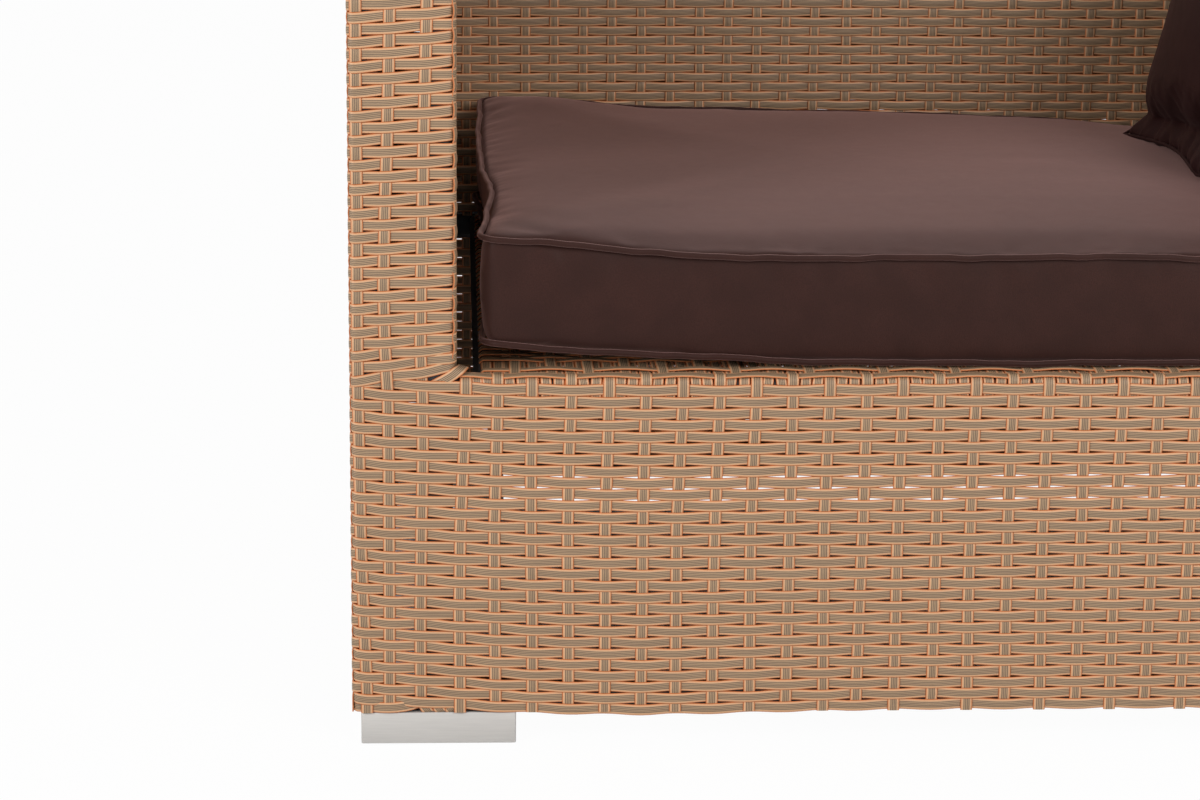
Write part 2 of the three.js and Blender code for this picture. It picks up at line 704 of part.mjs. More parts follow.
// The pillow stands on the cushion, turned a little to the front, and leans on the right arm.
function pillow(cushionSolid, armSolid) {
  const geometry = pillowGeometry().rotateY(THREE.MathUtils.degToRad(pillowLean));
  geometry.rotateZ(THREE.MathUtils.degToRad(pillowTurn));
  geometry.computeBoundingBox();
  const above = overallHeight - geometry.boundingBox.min.z;
  let placed = solidOf(geometry.translate(0, -pillowBackset, above));
  for (let round = 0; round < settlingRounds; round += 1) {
    placed = settled(placed, cushionSolid, [0, 0, -1]);
    placed = settled(placed, armSolid, [1, 0, 0]);
  }
  return named("pillow", geometryOf(placed), pillowSatin);
}

const sofa = new THREE.Group();

// One side of the sofa, and its mirror image for the other side
function addSide(side, sign) {
  const group = new THREE.Group();
  group.scale.x = sign;
  group.add(armFrame(side), armSkins(side), foot(`${side}_front`));
  const rearFoot = foot(`${side}_rear`);
  rearFoot.scale.y = -1;
  group.add(rearFoot);
  sofa.add(group);
}

addSide("left", 1);
addSide("right", -1);
const cushion = seatCushion();
const rightArmSolid = solidOf(sofa.getObjectByName("left_arm_inner_weave").geometry).mirror([1, 0, 0]);
sofa.add(crossFrame(), crossSkins(), cushion, zip(), pillow(solidOf(cushion.geometry), rightArmSolid));

export default sofa;
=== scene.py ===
"""A woven garden sofa with a piped seat cushion and a loose pillow, dressed around its frame."""
import math

import bpy
import numpy as np
from bpy.props import FloatProperty, FloatVectorProperty, IntProperty, PointerProperty
from mathutils import Matrix, Vector
from mathutils.kdtree import KDTree


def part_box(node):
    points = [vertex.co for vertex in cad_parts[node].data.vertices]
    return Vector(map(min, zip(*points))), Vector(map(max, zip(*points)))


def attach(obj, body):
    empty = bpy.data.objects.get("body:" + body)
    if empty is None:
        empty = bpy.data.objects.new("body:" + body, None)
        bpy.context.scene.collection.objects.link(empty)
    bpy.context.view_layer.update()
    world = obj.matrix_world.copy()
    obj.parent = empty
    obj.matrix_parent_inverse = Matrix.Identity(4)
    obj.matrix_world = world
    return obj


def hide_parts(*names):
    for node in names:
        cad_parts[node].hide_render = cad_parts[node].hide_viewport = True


bl_info = {
    "name": "Woven Garden Sofa",
    "version": (1, 0, 0),
    "blender": (4, 5, 0),
    "location": "View3D > Sidebar > Garden Sofa",
    "description": "Weaves the strands and sews the cushion and pillow around the sofa's frame",
    "category": "Object",
}

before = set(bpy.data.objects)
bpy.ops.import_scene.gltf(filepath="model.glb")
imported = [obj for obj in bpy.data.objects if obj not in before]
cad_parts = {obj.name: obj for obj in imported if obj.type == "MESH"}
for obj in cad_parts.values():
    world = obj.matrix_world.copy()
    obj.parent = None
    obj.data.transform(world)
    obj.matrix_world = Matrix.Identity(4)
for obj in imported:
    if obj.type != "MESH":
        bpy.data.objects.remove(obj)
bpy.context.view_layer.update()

MM = 0.001
WHITE = (1.0, 1.0, 1.0, 1.0)

# Where the faces are, in metres, taken from the frame's own solids
HALF_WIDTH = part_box("right_arm_outer_weave")[1].x
HALF_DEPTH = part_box("rear_weave")[1].y
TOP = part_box("rear_weave")[1].z
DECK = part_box("seat_deck_weave")[1].z
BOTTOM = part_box("front_apron_weave")[0].z
ARM_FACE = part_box("left_arm_inner_weave")[1].x
BACK_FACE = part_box("back_inner_weave")[0].y
MID = 3.3 * MM / 2
ROUND = 8 * MM
EDGE_RADIUS = ROUND - MID

# The mid surface of each woven wall
F = {
    "left": -HALF_WIDTH + MID,
    "right": HALF_WIDTH - MID,
    "front": -HALF_DEPTH + MID,
    "rear": HALF_DEPTH - MID,
    "arm": ARM_FACE - MID,
    "back": BACK_FACE + MID,
    "top": TOP - MID,
    "deck": DECK - MID,
}
FRONT_LEFT = np.array([HALF_WIDTH, HALF_DEPTH, 0])
UP = np.array([0.0, 0.0, 1.0])
LEFTWARD = np.array([-1.0, 0, 0])
RIGHTWARD = np.array([1.0, 0, 0])
REARWARD = np.array([0, 1.0, 0])
SIDES = ((-1, "left"), (1, "right"))


# Nodes


class Link:
    """A socket in a node tree. Arithmetic on it adds Math nodes to the tree."""

    def __init__(self, tree, socket):
        self.tree = tree
        self.socket = socket

    def math(self, operation, *others):
        values = dict(enumerate((self, *others)))
        return node(self.tree, "ShaderNodeMath", {"operation": operation}, values)

    def __add__(self, other):
        return self.math("ADD", other)

    __radd__ = __add__

    def __mul__(self, other):
        return self.math("MULTIPLY", other)

    __rmul__ = __mul__

    def __sub__(self, other):
        return self.math("SUBTRACT", other)

    def __rsub__(self, other):
        return (self * -1.0) + other

    def __pow__(self, other):
        return self.math("POWER", other)

    def __abs__(self):
        return self.math("ABSOLUTE")

    def sine(self):
        return self.math("SINE")

    def sign(self):
        return self.math("SIGN")

    def above(self, low, high):
        """0 below low, 1 above high, and a smooth step between."""
        settings = {"interpolation_type": "SMOOTHSTEP"}
        return node(self.tree, "ShaderNodeMapRange", settings, {0: self, 1: low, 2: high})


def node(tree, kind, settings=None, inputs=None, output=0):
    """Adds a node, sets it up, feeds its sockets with values or links, and returns one output."""
    made = tree.nodes.new(kind)
    for name, value in (settings or {}).items():
        setattr(made, name, value)
    for name, value in (inputs or {}).items():
        feed(tree, value, made.inputs[name])
    return Link(tree, made.outputs[output])


def feed(tree, value, socket):
    if isinstance(value, Link):
        tree.links.new(value.socket, socket)
    else:
        socket.default_value = value


def mix(tree, share, first, second):
    """A colour between two colours."""
    colours = [c if isinstance(c, Link) else (*c, 1.0) for c in (first, second)]
    inputs = {0: share, 6: colours[0], 7: colours[1]}
    return node(tree, "ShaderNodeMix", {"data_type": "RGBA"}, inputs, 2)


def linear(red, green, blue):
    """A screen colour, from 0 to 255, as scene-linear light."""
    shares = [c / 255 for c in (red, green, blue)]
    return tuple(c / 12.92 if c <= 0.04045 else ((c + 0.055) / 1.055) ** 2.4 for c in shares)


def shade(colour, factor):
    """A colour made darker or lighter."""
    return [c * factor for c in colour]


def surface(name, base, roughness, normal=None, **plain):
    """A material with its colour and roughness, and any plain values for the shader's sockets."""
    material = bpy.data.materials.new(name)
    material.use_nodes = True
    tree = material.node_tree
    sockets = tree.nodes["Principled BSDF"].inputs
    feed(tree, base(tree), sockets["Base Color"])
    feed(tree, roughness(tree), sockets["Roughness"])
    if normal:
        feed(tree, normal(tree), sockets["Normal"])
    for socket, value in plain.items():
        sockets[socket.replace("_", " ")].default_value = value
    return material


def place_of(tree):
    return node(tree, "ShaderNodeTexCoord", output=3)


def attribute(tree, name):
    return node(tree, "ShaderNodeAttribute", {"attribute_name": name}, output=2)


def parts_of(tree, vector):
    """A vector's x, y and z."""
    split = tree.nodes.new("ShaderNodeSeparateXYZ")
    feed(tree, vector, split.inputs[0])
    return [Link(tree, output) for output in split.outputs]


def noise(tree, scale, detail=2.0, vector=None, stretch=None):
    where = vector or place_of(tree)
    if stretch:
        where = node(tree, "ShaderNodeMapping", inputs={0: where, 3: stretch})
    inputs = {"Vector": where, "Scale": scale, "Detail": detail}
    return node(tree, "ShaderNodeTexNoise", inputs=inputs)


def bump(tree, height, strength, distance):
    return node(tree, "ShaderNodeBump", inputs={0: strength, 1: distance, "Height": height})


def mottled(name, colours, scale, rough, spread, rough_scale, normal=None, **plain):
    """A material that wanders a little between two colours, and in its roughness."""
    return surface(
        name,
        lambda tree: mix(tree, noise(tree, scale), *colours),
        lambda tree: rough + noise(tree, rough_scale) * spread,
        normal,
        **plain,
    )


def group_tree(name, inputs):
    """A new geometry node tree with named inputs, and those inputs as links."""
    tree = bpy.data.node_groups.new(name, "GeometryNodeTree")
    for label, kind in {"Geometry": "Geometry", **inputs}.items():
        tree.interface.new_socket(label, in_out="INPUT", socket_type="NodeSocket" + kind)
    tree.interface.new_socket("Geometry", in_out="OUTPUT", socket_type="NodeSocketGeometry")
    group = tree.nodes.new("NodeGroupInput")
    return tree, {socket.name: Link(tree, socket) for socket in group.outputs if socket.name}


def end_tree(tree, geometry, material):
    """Ends a tree in plain geometry that wears its material."""
    whole = node(tree, "GeometryNodeRealizeInstances", inputs={0: geometry})
    worn = node(tree, "GeometryNodeSetMaterial", inputs={0: whole, "Material": material})
    result = tree.nodes.new("NodeGroupOutput")
    feed(tree, worn, result.inputs[0])
    return tree


# Pieces


def linked(name, data):
    """A new object that holds the data and is in the scene."""
    made = bpy.data.objects.new(name, data)
    bpy.context.scene.collection.objects.link(made)
    return made


def evaluated(piece):
    """The plain mesh that a piece's modifiers or curve give."""
    result = piece.evaluated_get(bpy.context.evaluated_depsgraph_get())
    return bpy.data.meshes.new_from_object(result)


def paint(mesh, material):
    mesh.materials.clear()
    mesh.materials.append(material)


def smooth_paint(mesh, material):
    paint(mesh, material)
    mesh.shade_smooth()


def grown(name, mesh, tree, values):
    """Runs a node tree on a mesh and returns what it makes as one plain piece."""
    guide = linked(name + "_guide", mesh)
    modifier = guide.modifiers.new("nodes", "NODES")
    modifier.node_group = tree
    sockets = {item.name: item.identifier for item in tree.interface.items_tree}
    for label, value in values.items():
        modifier[sockets[label]] = value
    made = evaluated(guide)
    made.name = name
    bpy.data.objects.remove(guide)
    return linked(name, made)


def dress(piece, body="sofa", nodes=()):
    """Puts a piece on the body that it rides on, and hides the nodes that it stands for."""
    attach(piece, body)
    if nodes:
        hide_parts(*nodes)
    return piece


# Settings


def length(name, description, default):
    return FloatProperty(name=name, description=description, default=default, unit="LENGTH")


def colour(name, description, default):
    return FloatVectorProperty(
        name=name, description=description, default=default, subtype="COLOR"
    )


def power(name, description, default):
    return FloatProperty(name=name, description=description, default=default, unit="POWER")


class WeaveSettings(bpy.types.PropertyGroup):
    """The flat strand and how it is woven"""

    strand_width: length("Strand width", "Width of the flat strand", 9.75 * MM)
    strand_thickness: length("Strand thickness", "Thickness of the flat strand", 1.5 * MM)
    stake_width: length("Stake width", "Width of the strands that the rows cross", 10.2 * MM)
    rise: length("Rise", "How far a row swings out and in at its crossings", 0.85 * MM)
    stake_rise: length("Stake rise", "How far a stake swings out and in", 0.72 * MM)
    sway: length("Sway", "How far a row is pushed sideways by its neighbours", 0.42 * MM)
    seed: IntProperty(name="Seed", description="Seed of the hand-made unevenness", default=7)
    core: colour("Core", "Colour along the middle", linear(172, 143, 113))
    band: colour("Band", "Colour of the pale bands", linear(232, 180, 136))
    # The orange edges: partly the strand's own colour, partly a painted glow of light through the
    # plastic
    edge: colour("Edge", "Colour of the edges", linear(214, 122, 66))


class SoftSettings(bpy.types.PropertyGroup):
    """The seat cushion and the pillow"""

    fabric: colour("Fabric", "Colour of the seat cushion", linear(54, 31, 26))
    pillow: colour("Pillow", "Colour of the pillow", linear(42, 22, 22))
    piping: length("Piping", "Radius of the piping", 2.6 * MM)
    puckers: length("Puckers", "Height of the puckers beside the piping", 0.55 * MM)


class FrameSettings(bpy.types.PropertyGroup):
    """The tube frame and the feet"""

    powder: colour("Powder coat", "Colour of the frame", linear(52, 53, 55))
    foot: colour("Foot", "Colour of the block feet", linear(202, 199, 195))
    foot_round: length("Foot edge", "Radius of a foot's edges", 1.4 * MM)


class StageSettings(bpy.types.PropertyGroup):
    """The studio"""

    floor: colour("Floor", "Colour of the floor", (0.93, 0.93, 0.93))
    backdrop: FloatProperty(
        name="Backdrop",
        description="How far the floor is lit up white for the camera",
        default=0.97,
        subtype="FACTOR",
    )
    key: power("Key", "Power of the key lamp", 32.0)
    fill: power("Fill", "Power of the fill lamp", 29.0)


SETTINGS = {
    "sofa_weave": WeaveSettings,
    "sofa_soft": SoftSettings,
    "sofa_frame": FrameSettings,
    "sofa_stage": StageSettings,
}


# Where the strands run


def smooth_sign(value, power):
    return np.sign(value) * np.abs(value) ** power


def lengths_along(places):
    """How far along a line each of its points lies."""
    steps = np.linalg.norm(np.diff(places, axis=0), axis=1)
    return np.concatenate([[0.0], np.cumsum(steps)])


class Path:
    """A path through corner points, rounded at each, that knows its place and outward side."""

    TURN_STEPS = 6

    def __init__(self, corners, radius, up, closed=False):
        corners = [np.array(c, float) for c in corners]
        points = []
        normals = []
        count = len(corners)
        radii = radius if isinstance(radius, list) else [radius] * count
        for i, (corner, radius) in enumerate(zip(corners, radii)):
            before = corners[i - 1]
            after = corners[(i + 1) % count]
            if not closed and i in (0, count - 1):
                run = (after - corner) if i == 0 else (corner - before)
                points.append(corner)
                normals.append(self.out(run, up))
                continue
            arriving = (corner - before) / np.linalg.norm(corner - before)
            leaving = (after - corner) / np.linalg.norm(after - corner)
            out_before = self.out(arriving, up)
            out_after = self.out(leaving, up)
            convex = np.dot(leaving, out_before) < 0
            centre = corner - radius * arriving + radius * leaving
            for step in range(self.TURN_STEPS + 1):
                turn = step / self.TURN_STEPS * math.pi / 2
                out = out_before * math.cos(turn) + out_after * math.sin(turn)
                points.append(centre + out * radius * (1 if convex else -1))
                normals.append(out)
        if closed:
            points.append(points[0])
            normals.append(normals[0])
        self.points = np.array(points)
        self.normals = np.array(normals)
        self.lengths = lengths_along(self.points)
        self.length = self.lengths[-1]
        self.closed = closed

    @staticmethod
    def out(run, up):
        side = np.cross(run, up)
        return side / np.linalg.norm(side)

    def at(self, distance):
        """The place and the outward side at each distance along the path."""
        place, out = (
            np.stack([np.interp(distance, self.lengths, known[:, i]) for i in range(3)], -1)
            for known in (self.points, self.normals)
        )
        return place, out / np.linalg.norm(out, axis=-1, keepdims=True)

    def distance_to(self, *place):
        """How far along the path the point nearest to a place is."""
        place = np.array(place)
        best = (1e9, 0.0)
        for start, end, far in zip(self.points[:-1], self.points[1:], self.lengths):
            run = end - start
            share = np.clip(np.dot(place - start, run) / max(np.dot(run, run), 1e-12), 0, 1)
            gap = np.linalg.norm(place - start - share * run)
            best = min(best, (gap, far + share * np.linalg.norm(run)))
        return best[1]


class Strands:
    """Lines that a strand follows, with what the sweep needs at each of their points."""

    FIELDS = {"outward": 3, "side": 3, "wave": 1, "sway": 1, "along": 1, "tint": 1}

    def __init__(self):
        self.places = []
        self.fields = {name: [] for name in self.FIELDS}
        self.edges = []
        self.count = 0

    def add(self, place, outward, side, wave, sway, tint, closed=False):
        size = len(place)
        values = {
            "outward": outward,
            "side": np.broadcast_to(side, (size, 3)),
            "wave": np.broadcast_to(wave, size),
            "sway": np.broadcast_to(sway, size),
            "along": lengths_along(place),
            "tint": np.full(size, tint),
        }
        self.places.append(place)
        for name, value in values.items():
            self.fields[name].append(value)
        first = np.arange(size - 1) + self.count
        self.edges.append(np.stack([first, first + 1], -1))
        if closed:
            self.edges.append(np.array([[self.count + size - 1, self.count]]))
        self.count += size

    def add_plain(self, place, outward, side, random):
        """Adds a strand that lies still and swings neither out nor in."""
        self.add(place, outward, side, 0.0, 0.0, random.uniform())

    def lines(self, name):
        """A mesh of the lines alone, for the sweep to work on."""
        places = np.concatenate(self.places)
        edges = np.concatenate(self.edges)
        mesh = bpy.data.meshes.new(name)
        mesh.vertices.add(len(places))
        mesh.vertices.foreach_set("co", places.astype(np.float32).ravel())
        mesh.edges.add(len(edges))
        mesh.edges.foreach_set("vertices", edges.astype(np.int32).ravel())
        for field, width in self.FIELDS.items():
            kind = "FLOAT_VECTOR" if width == 3 else "FLOAT"
            data = mesh.attributes.new(field, kind, "POINT").data
            values = np.concatenate(self.fields[field]).astype(np.float32).ravel()
            data.foreach_set("vector" if width == 3 else "value", values)
        return mesh


SWEEP_INPUTS = {
    "Strand Width": "Float",
    "Strand Thickness": "Float",
    "Rise": "Float",
    "Sway": "Float",
    "Profile Points": "Int",
    "Material": "Material",
}
# How square the strand's section is, across and through it. 1 is an ellipse
SECTION_ACROSS = 0.55
SECTION_THROUGH = 0.7


def sweep_tree():
    """The node tree that swings each line out and in and sweeps the flat strand along it."""
    known = bpy.data.node_groups.get("swept_strands")
    if known:
        return known
    tree, given = group_tree("swept_strands", SWEEP_INPUTS)

    def named(name, kind="FLOAT"):
        return node(
            tree, "GeometryNodeInputNamedAttribute", {"data_type": kind}, {"Name": name}
        )

    def scaled(vector, factor):
        inputs = {0: vector, "Scale": factor}
        return node(tree, "ShaderNodeVectorMath", {"operation": "SCALE"}, inputs)

    outward = named("outward", "FLOAT_VECTOR")
    swing = scaled(outward, named("wave") * given["Rise"])
    push = scaled(named("side", "FLOAT_VECTOR"), named("sway") * given["Sway"])
    offset = node(tree, "ShaderNodeVectorMath", {"operation": "ADD"}, {0: swing, 1: push})
    inputs = {0: given["Geometry"], "Offset": offset}
    lines = node(tree, "GeometryNodeSetPosition", inputs=inputs)
    curves = node(tree, "GeometryNodeMeshToCurve", inputs={0: lines})
    inputs = {"Curve": curves, "Normal": outward}
    curves = node(tree, "GeometryNodeSetCurveNormal", {"mode": "FREE"}, inputs)

    inputs = {"Resolution": given["Profile Points"], "Radius": 1.0}
    circle = node(tree, "GeometryNodeCurvePrimitiveCircle", inputs=inputs)
    over, across, _ = parts_of(tree, node(tree, "GeometryNodeInputPosition"))
    flat_across = across.sign() * abs(across) ** SECTION_ACROSS
    flat_over = over.sign() * abs(over) ** SECTION_THROUGH
    half_thickness = flat_over * given["Strand Thickness"] * 0.5
    half_width = flat_across * given["Strand Width"] * 0.5
    shaped = node(tree, "ShaderNodeCombineXYZ", inputs={0: half_thickness, 1: half_width})
    stored = node(
        tree,
        "GeometryNodeStoreNamedAttribute",
        {"data_type": "FLOAT", "domain": "POINT"},
        {"Geometry": circle, "Name": "across", "Value": flat_across},
    )
    profile = node(tree, "GeometryNodeSetPosition", inputs={0: stored, "Position": shaped})
    inputs = {0: curves, 1: profile, "Fill Caps": True}
    strands = node(tree, "GeometryNodeCurveToMesh", inputs=inputs)
    smooth = node(tree, "GeometryNodeSetShadeSmooth", inputs={0: strands})
    return end_tree(tree, smooth, given["Material"])


def swept(name, strands, width, rise, sway=0.0):
    """Sweeps the strands and returns them as one plain mesh object."""
    values = {
        "Strand Width": width,
        "Strand Thickness": bpy.context.scene.sofa_weave.strand_thickness,
        "Rise": rise,
        "Sway": sway,
        "Profile Points": 8,
        "Material": strand_material(),
    }
    return grown(name, strands.lines(name), sweep_tree(), values)


def swept_rows(name, strands, nodes=()):
    """Sweeps rows and dresses them."""
    weave = bpy.context.scene.sofa_weave
    return dress(swept(name, strands, weave.strand_width, weave.rise, weave.sway), nodes=nodes)


def swept_stakes(name, strands):
    """Sweeps stakes and dresses them."""
    weave = bpy.context.scene.sofa_weave
    return dress(swept(name, strands, weave.stake_width, weave.stake_rise))


def strand_material():
    """Flat strand: painted shade in the grooves, pale bands, orange edges partly a painted glow."""
    name = "rattan_strand"
    if name in bpy.data.materials:
        return bpy.data.materials[name]
    weave = bpy.context.scene.sofa_weave

    def streaks(tree):
        where = node(tree, "ShaderNodeCombineXYZ", inputs={
            0: attribute(tree, "along") * 18.0,
            1: attribute(tree, "across") * 1.2,
            2: attribute(tree, "tint") * 40.0,
        })
        return noise(tree, 1.0, 3.0, where)

    # The groove lines, used for the bump and for painted shade in the grooves
    def grooves(tree):
        across = attribute(tree, "across")
        wave = (across * 22.0 - 1.5708).sine()
        inside = 1.0 - abs(across).above(0.5, 0.6)
        return wave.above(-0.2, 0.8) * inside

    def base(tree):
        edge_distance = abs(attribute(tree, "across"))
        worn = streaks(tree)
        core = mix(tree, worn.above(0.3, 0.7), shade(weave.core, 1.02), shade(weave.core, 1.22))
        # Painted shade: the core is drawn much darker along its grooves
        core = mix(tree, grooves(tree), core, shade(weave.core, 0.3))
        band = mix(tree, worn, weave.band, shade(weave.band, 0.86))
        colour = mix(tree, edge_distance.above(0.52, 0.66), core, band)
        # Orange edges: partly own colour, partly a painted glow of light through the translucent
        # plastic
        colour = mix(tree, edge_distance.above(0.80, 0.93), colour, weave.edge)
        return mix(tree, attribute(tree, "tint") * 0.1, colour, (0.25, 0.16, 0.10))

    def roughness(tree):
        return 0.42 + streaks(tree) * 0.16

    def normal(tree):
        return bump(tree, streaks(tree) * 0.25 - grooves(tree), 0.5, 0.25 * MM)

    return surface(name, base, roughness, normal, Specular_IOR_Level=0.45)


# The plan of the weave, as measured in the photo. Plain heights and places are millimetres

APRON_ROWS = 29
APRON_TOP_ROW = 315.0
APRON_PITCH = 10.0
ARM_ROWS = 37
ARM_FIRST_ROW = 326.0
ARM_PITCH = 10.1
BACK_ROW = 535.5
BACK_PITCH = 9.62
BACK_ROWS_BELOW = 21
BACK_ROWS_ABOVE = 16
TOP_ROWS = 7
SIDE_STAKES = 26
APRON_PLACES = (
    7.8, 32.5, 60.5, 97.5, 124, 154, 185, 216.5, 247.5, 279.5, 309.5, 340.5, 371.5, 403, 434,
    465, 495, 526.5, 557.5, 588, 618.5, 650, 681, 712.5,
)
BACK_PLACES = (
    101, 128.5, 161.5, 190, 220.7, 249, 279.5, 309.5, 340.2, 369, 398.3, 428, 458.2, 491, 522,
    549.4, 580, 606.8, 634.7, 661.8, 690, 716.8, 743, 770, 795, 823, 851, 879, 907, 935, 963, 991,
)
SLOT = 14 * MM
REAR_DROP = 1 * MM
DROOP_FADE = 70 * MM
ROW_TURN = 4.4 * MM
ROW_PARITY = 1
CORNER_CLIMB = 8.6 * MM
CORNER_REACH = 68 * MM
FIRST_ROW_PRESS = 2.1
# How far a row wanders from its level, and over what length
DRIFT = (0.2 * MM, 0.4)
BACK_DRIFT = (0.3 * MM, 0.35)
# About one turn, in radians
TURN = 6.28
# How square a strand's swing is. 1 is a sine
ROW_SWING = 0.72
STAKE_SWING = 0.8
# How far a stake wanders aside, a front one less than the others, and over what length
STAKE_DRIFT = 0.5 * MM
FRONT_STAKE_DRIFT = 0.15 * MM
STAKE_DRIFT_LENGTH = 0.25
# How an arm's rows fan out: at the least, how much more near the deck, over how many rows,
# around which place, and over what reach
FAN_LEAST, FAN_MORE, FAN_ROWS = 3, 5, 2.5
FAN_CENTRE = 21 * MM
FAN_REACH = 53 * MM
ARM_STAKES = 3

# How far each front stake stands aside from its place, in millimetres, at these heights
LEAN_HEIGHTS = (48, 118, 193, 258, 308, 350, 403, 463, 523, 583, 643)
FRONT_LEANS = (
    (5.3, 3.2, 1.0, 0.2, -0.2, -0.2, -0.2, 0.0, 0.0, 0.1, 0.1),
    (0.0, 0.2, 0.2, 0.5, 0.2, -2.1, -3.3, -1.8, 0.7, 2.4, 3.4),
    (-1.5, -1.5, -0.6, 1.0, 1.0, -0.8, -0.3, 1.5, 2.5, 3.9, 5.6),
    (-5.0, -5.8, -4.6, -1.8, 0.0),
    (-1.1, -2.4, -2.7, -0.8, 0.2),
    (0.0, -0.3, -1.6, -2.2, -1.2),
    (-0.2, -0.4, -1.6, -1.2, 0.7),
    (-0.2, -0.5, -1.6, 0.0, 1.0),
    (-0.3, -0.1, -0.8, -0.2, 1.0),
    (-2.7, -3.0, -4.0, -2.1, 0.1),
    (-1.2, -1.9, -1.4, -0.3, 0.7),
    (0.1, -1.3, -2.2, -0.6, 0.6),
    (0.4, 0.1, 0.0, 0.1, 0.2),
    (1.0, -0.7, -2.3, -1.3, -0.1),
    (-1.6, -1.2, 0.1, -0.2, 0.1),
    (-0.1, -0.5, -1.3, -1.4, -0.7),
    (2.7, 2.0, 1.9, 0.3, 0.2),
    (1.7, -0.2, -0.9, -0.8, -0.3),
    (3.4, 1.3, 0.0, -0.2, 0.3),
    (3.4, 0.8, -0.4, -0.8, -0.3),
    (3.8, 3.0, 2.3, 0.7, 0.4),
    (2.5, 1.1, -0.3, 0.4, 1.1),
    (1.6, 1.3, 1.0, 0.5, 0.3),
    (1.3, 1.1, 0.8, 0.4, 0.3),
    (0.5, 0.6, 0.8, 0.2, 0.0),
    (-0.6, -0.9, -0.4, 0.2, 0.3),
    (-1.2, -1.6, -1.2, -0.5, 0.0),
    (0.4, 0.6, 0.2, 0.0, -0.2),
    (1.4, 0.9, 0.7, 0.4, 0.1),
    (-0.8, -0.4, 0.3, 0.3, 0.0),
    (0.9, 1.2, 0.8, 0.0, -0.3),
    (1.8, 1.5, 1.1, 0.6, 0.0),
    (-1.6, -1.9, -1.3, -0.6, 0.0),
    (0.9, 0.6, 0.2, -0.4, -0.6, 0.4, 0.8, -0.9, -1.6, -2.4, -3.1),
    (-0.4, -0.3, 0.1, 0.3, 0.2, 1.2, 1.9, 1.1, -0.6, -1.5, -2.2),
    (-3.2, -2.1, -0.8, -0.2, 0.1, 0.1, 0.2, 0.0, -0.2, -0.2, -0.1),
)

# How far the rows hang below an even pitch, in millimetres, across the apron and across an
# arm's front
DROOP_PLACES = (
    8, 40, 62, 100, 124, 154, 200, 247, 280, 325, 372, 434, 495, 557, 620, 681, 780, 900,
)
DROOP_HEIGHTS = (48, 128, 218, 308)
APRON_DROOPS = (
    (0.8, -0.2, -0.3, 1.0, 2.0, 3.0, 3.8, 4.1, 3.6, 2.7, 1.7, 0.9, 0.5, 0.4, 0.1, 0.0, 0.6, 0.3),
    (1.5, 0.9, 0.0, 0.8, 1.5, 2.4, 3.2, 3.6, 3.4, 2.8, 2.2, 1.8, 1.4, 1.1, 0.9, 0.8, 1.0, 0.4),
    (1.7, 1.0, 0.3, 0.8, 1.1, 1.5, 2.1, 2.4, 2.3, 2.0, 1.7, 1.6, 1.6, 1.0, 0.3, 0.2, 0.5, 0.2),
    (1.0, 0.6, 0.5, 1.0, 1.5, 1.7, 1.7, 1.6, 1.6, 1.6, 1.3, 0.9, 0.6, 0.5, 0.6, 0.9, 0.5, 0.1),
)
ARM_DROOP_PLACES = (8, 32, 60, 90)
ARM_DROOP_HEIGHTS = (326, 348, 373, 403, 433, 463, 493, 523, 553, 583, 613, 653, 693)
ARM_DROOPS = (
    (1.9, 2.2, 2.6, 1.0),
    (1.5, 1.6, 2.2, 3.0),
    (1.9, 2.3, 3.0, 3.7),
    (2.5, 2.7, 2.9, 3.7),
    (2.9, 3.2, 3.3, 3.8),
    (2.9, 3.3, 3.6, 3.9),
    (2.9, 3.1, 3.3, 3.5),
    (2.9, 2.8, 3.0, 3.0),
    (2.6, 2.5, 2.4, 2.2),
    (2.8, 2.6, 2.5, 2.1),
    (2.8, 2.5, 2.2, 1.8),
    (2.3, 2.2, 2.0, 1.6),
    (0.0, 0.0, 0.0, 0.0),
)


def lean(number, height):
    """How far a front stake stands aside at a height, in metres."""
    leans = FRONT_LEANS[number]
    return np.interp(np.asarray(height) / MM, LEAN_HEIGHTS[: len(leans)], leans) * MM


def droop(place, level, places, heights, table):
    """How far a row at a level hangs down at each place along the front."""
    across = [np.interp(place, places, row) for row in table]
    between = np.interp(level / MM, heights, np.arange(len(heights)).astype(float))
    low = min(int(between), len(heights) - 2)
    return (across[low] + (across[low + 1] - across[low]) * (between - low)) * MM


def base_level(row):
    return (APRON_TOP_ROW - APRON_PITCH * row) * MM


def upper_level(row):
    return (ARM_FIRST_ROW + ARM_PITCH * row) * MM


def back_level(row):
    return (BACK_ROW + BACK_PITCH * row) * MM


def from_left(places):
    return [p * MM - HALF_WIDTH for p in places]


def spaced(first, last, count):
    """Even places from the first to the last."""
    return [first + (last - first) * i / (count - 1) for i in range(count)]


def with_mirrored(places, ends):
    """Places from left to right, ended by the mirror images of the first ones."""
    return places + [-p for p in reversed(ends)]


# Where the stakes stand: those of the front and rear from left to right, a side's from the front
SEEN = from_left(APRON_PLACES)
ON_ARM = SEEN[:ARM_STAKES]
FRONT = with_mirrored(SEEN + spaced(SEEN[-1], -SEEN[ARM_STAKES], 10)[1:], ON_ARM)
REAR = with_mirrored(ON_ARM + from_left(BACK_PLACES), ON_ARM)
APRON = FRONT[ARM_STAKES:-ARM_STAKES]
SIDE = spaced(-HALF_DEPTH + 9.5 * MM, HALF_DEPTH - 9.5 * MM, SIDE_STAKES)
END_STAKES = (0, len(FRONT) - 1)
CORNER_TURN = math.radians(76)
CORNER_STAKE = (
    F["arm"] - EDGE_RADIUS * (1 - math.sin(CORNER_TURN)),
    F["front"] + EDGE_RADIUS * (1 - math.cos(CORNER_TURN)),
)


def base_path():
    """The path of the rows around the base."""
    corners = [(F[x], F[y], 0) for x, y in (
        ("left", "front"), ("right", "front"), ("right", "rear"), ("left", "rear")
    )]
    return Path(corners, ROW_TURN, UP, True)


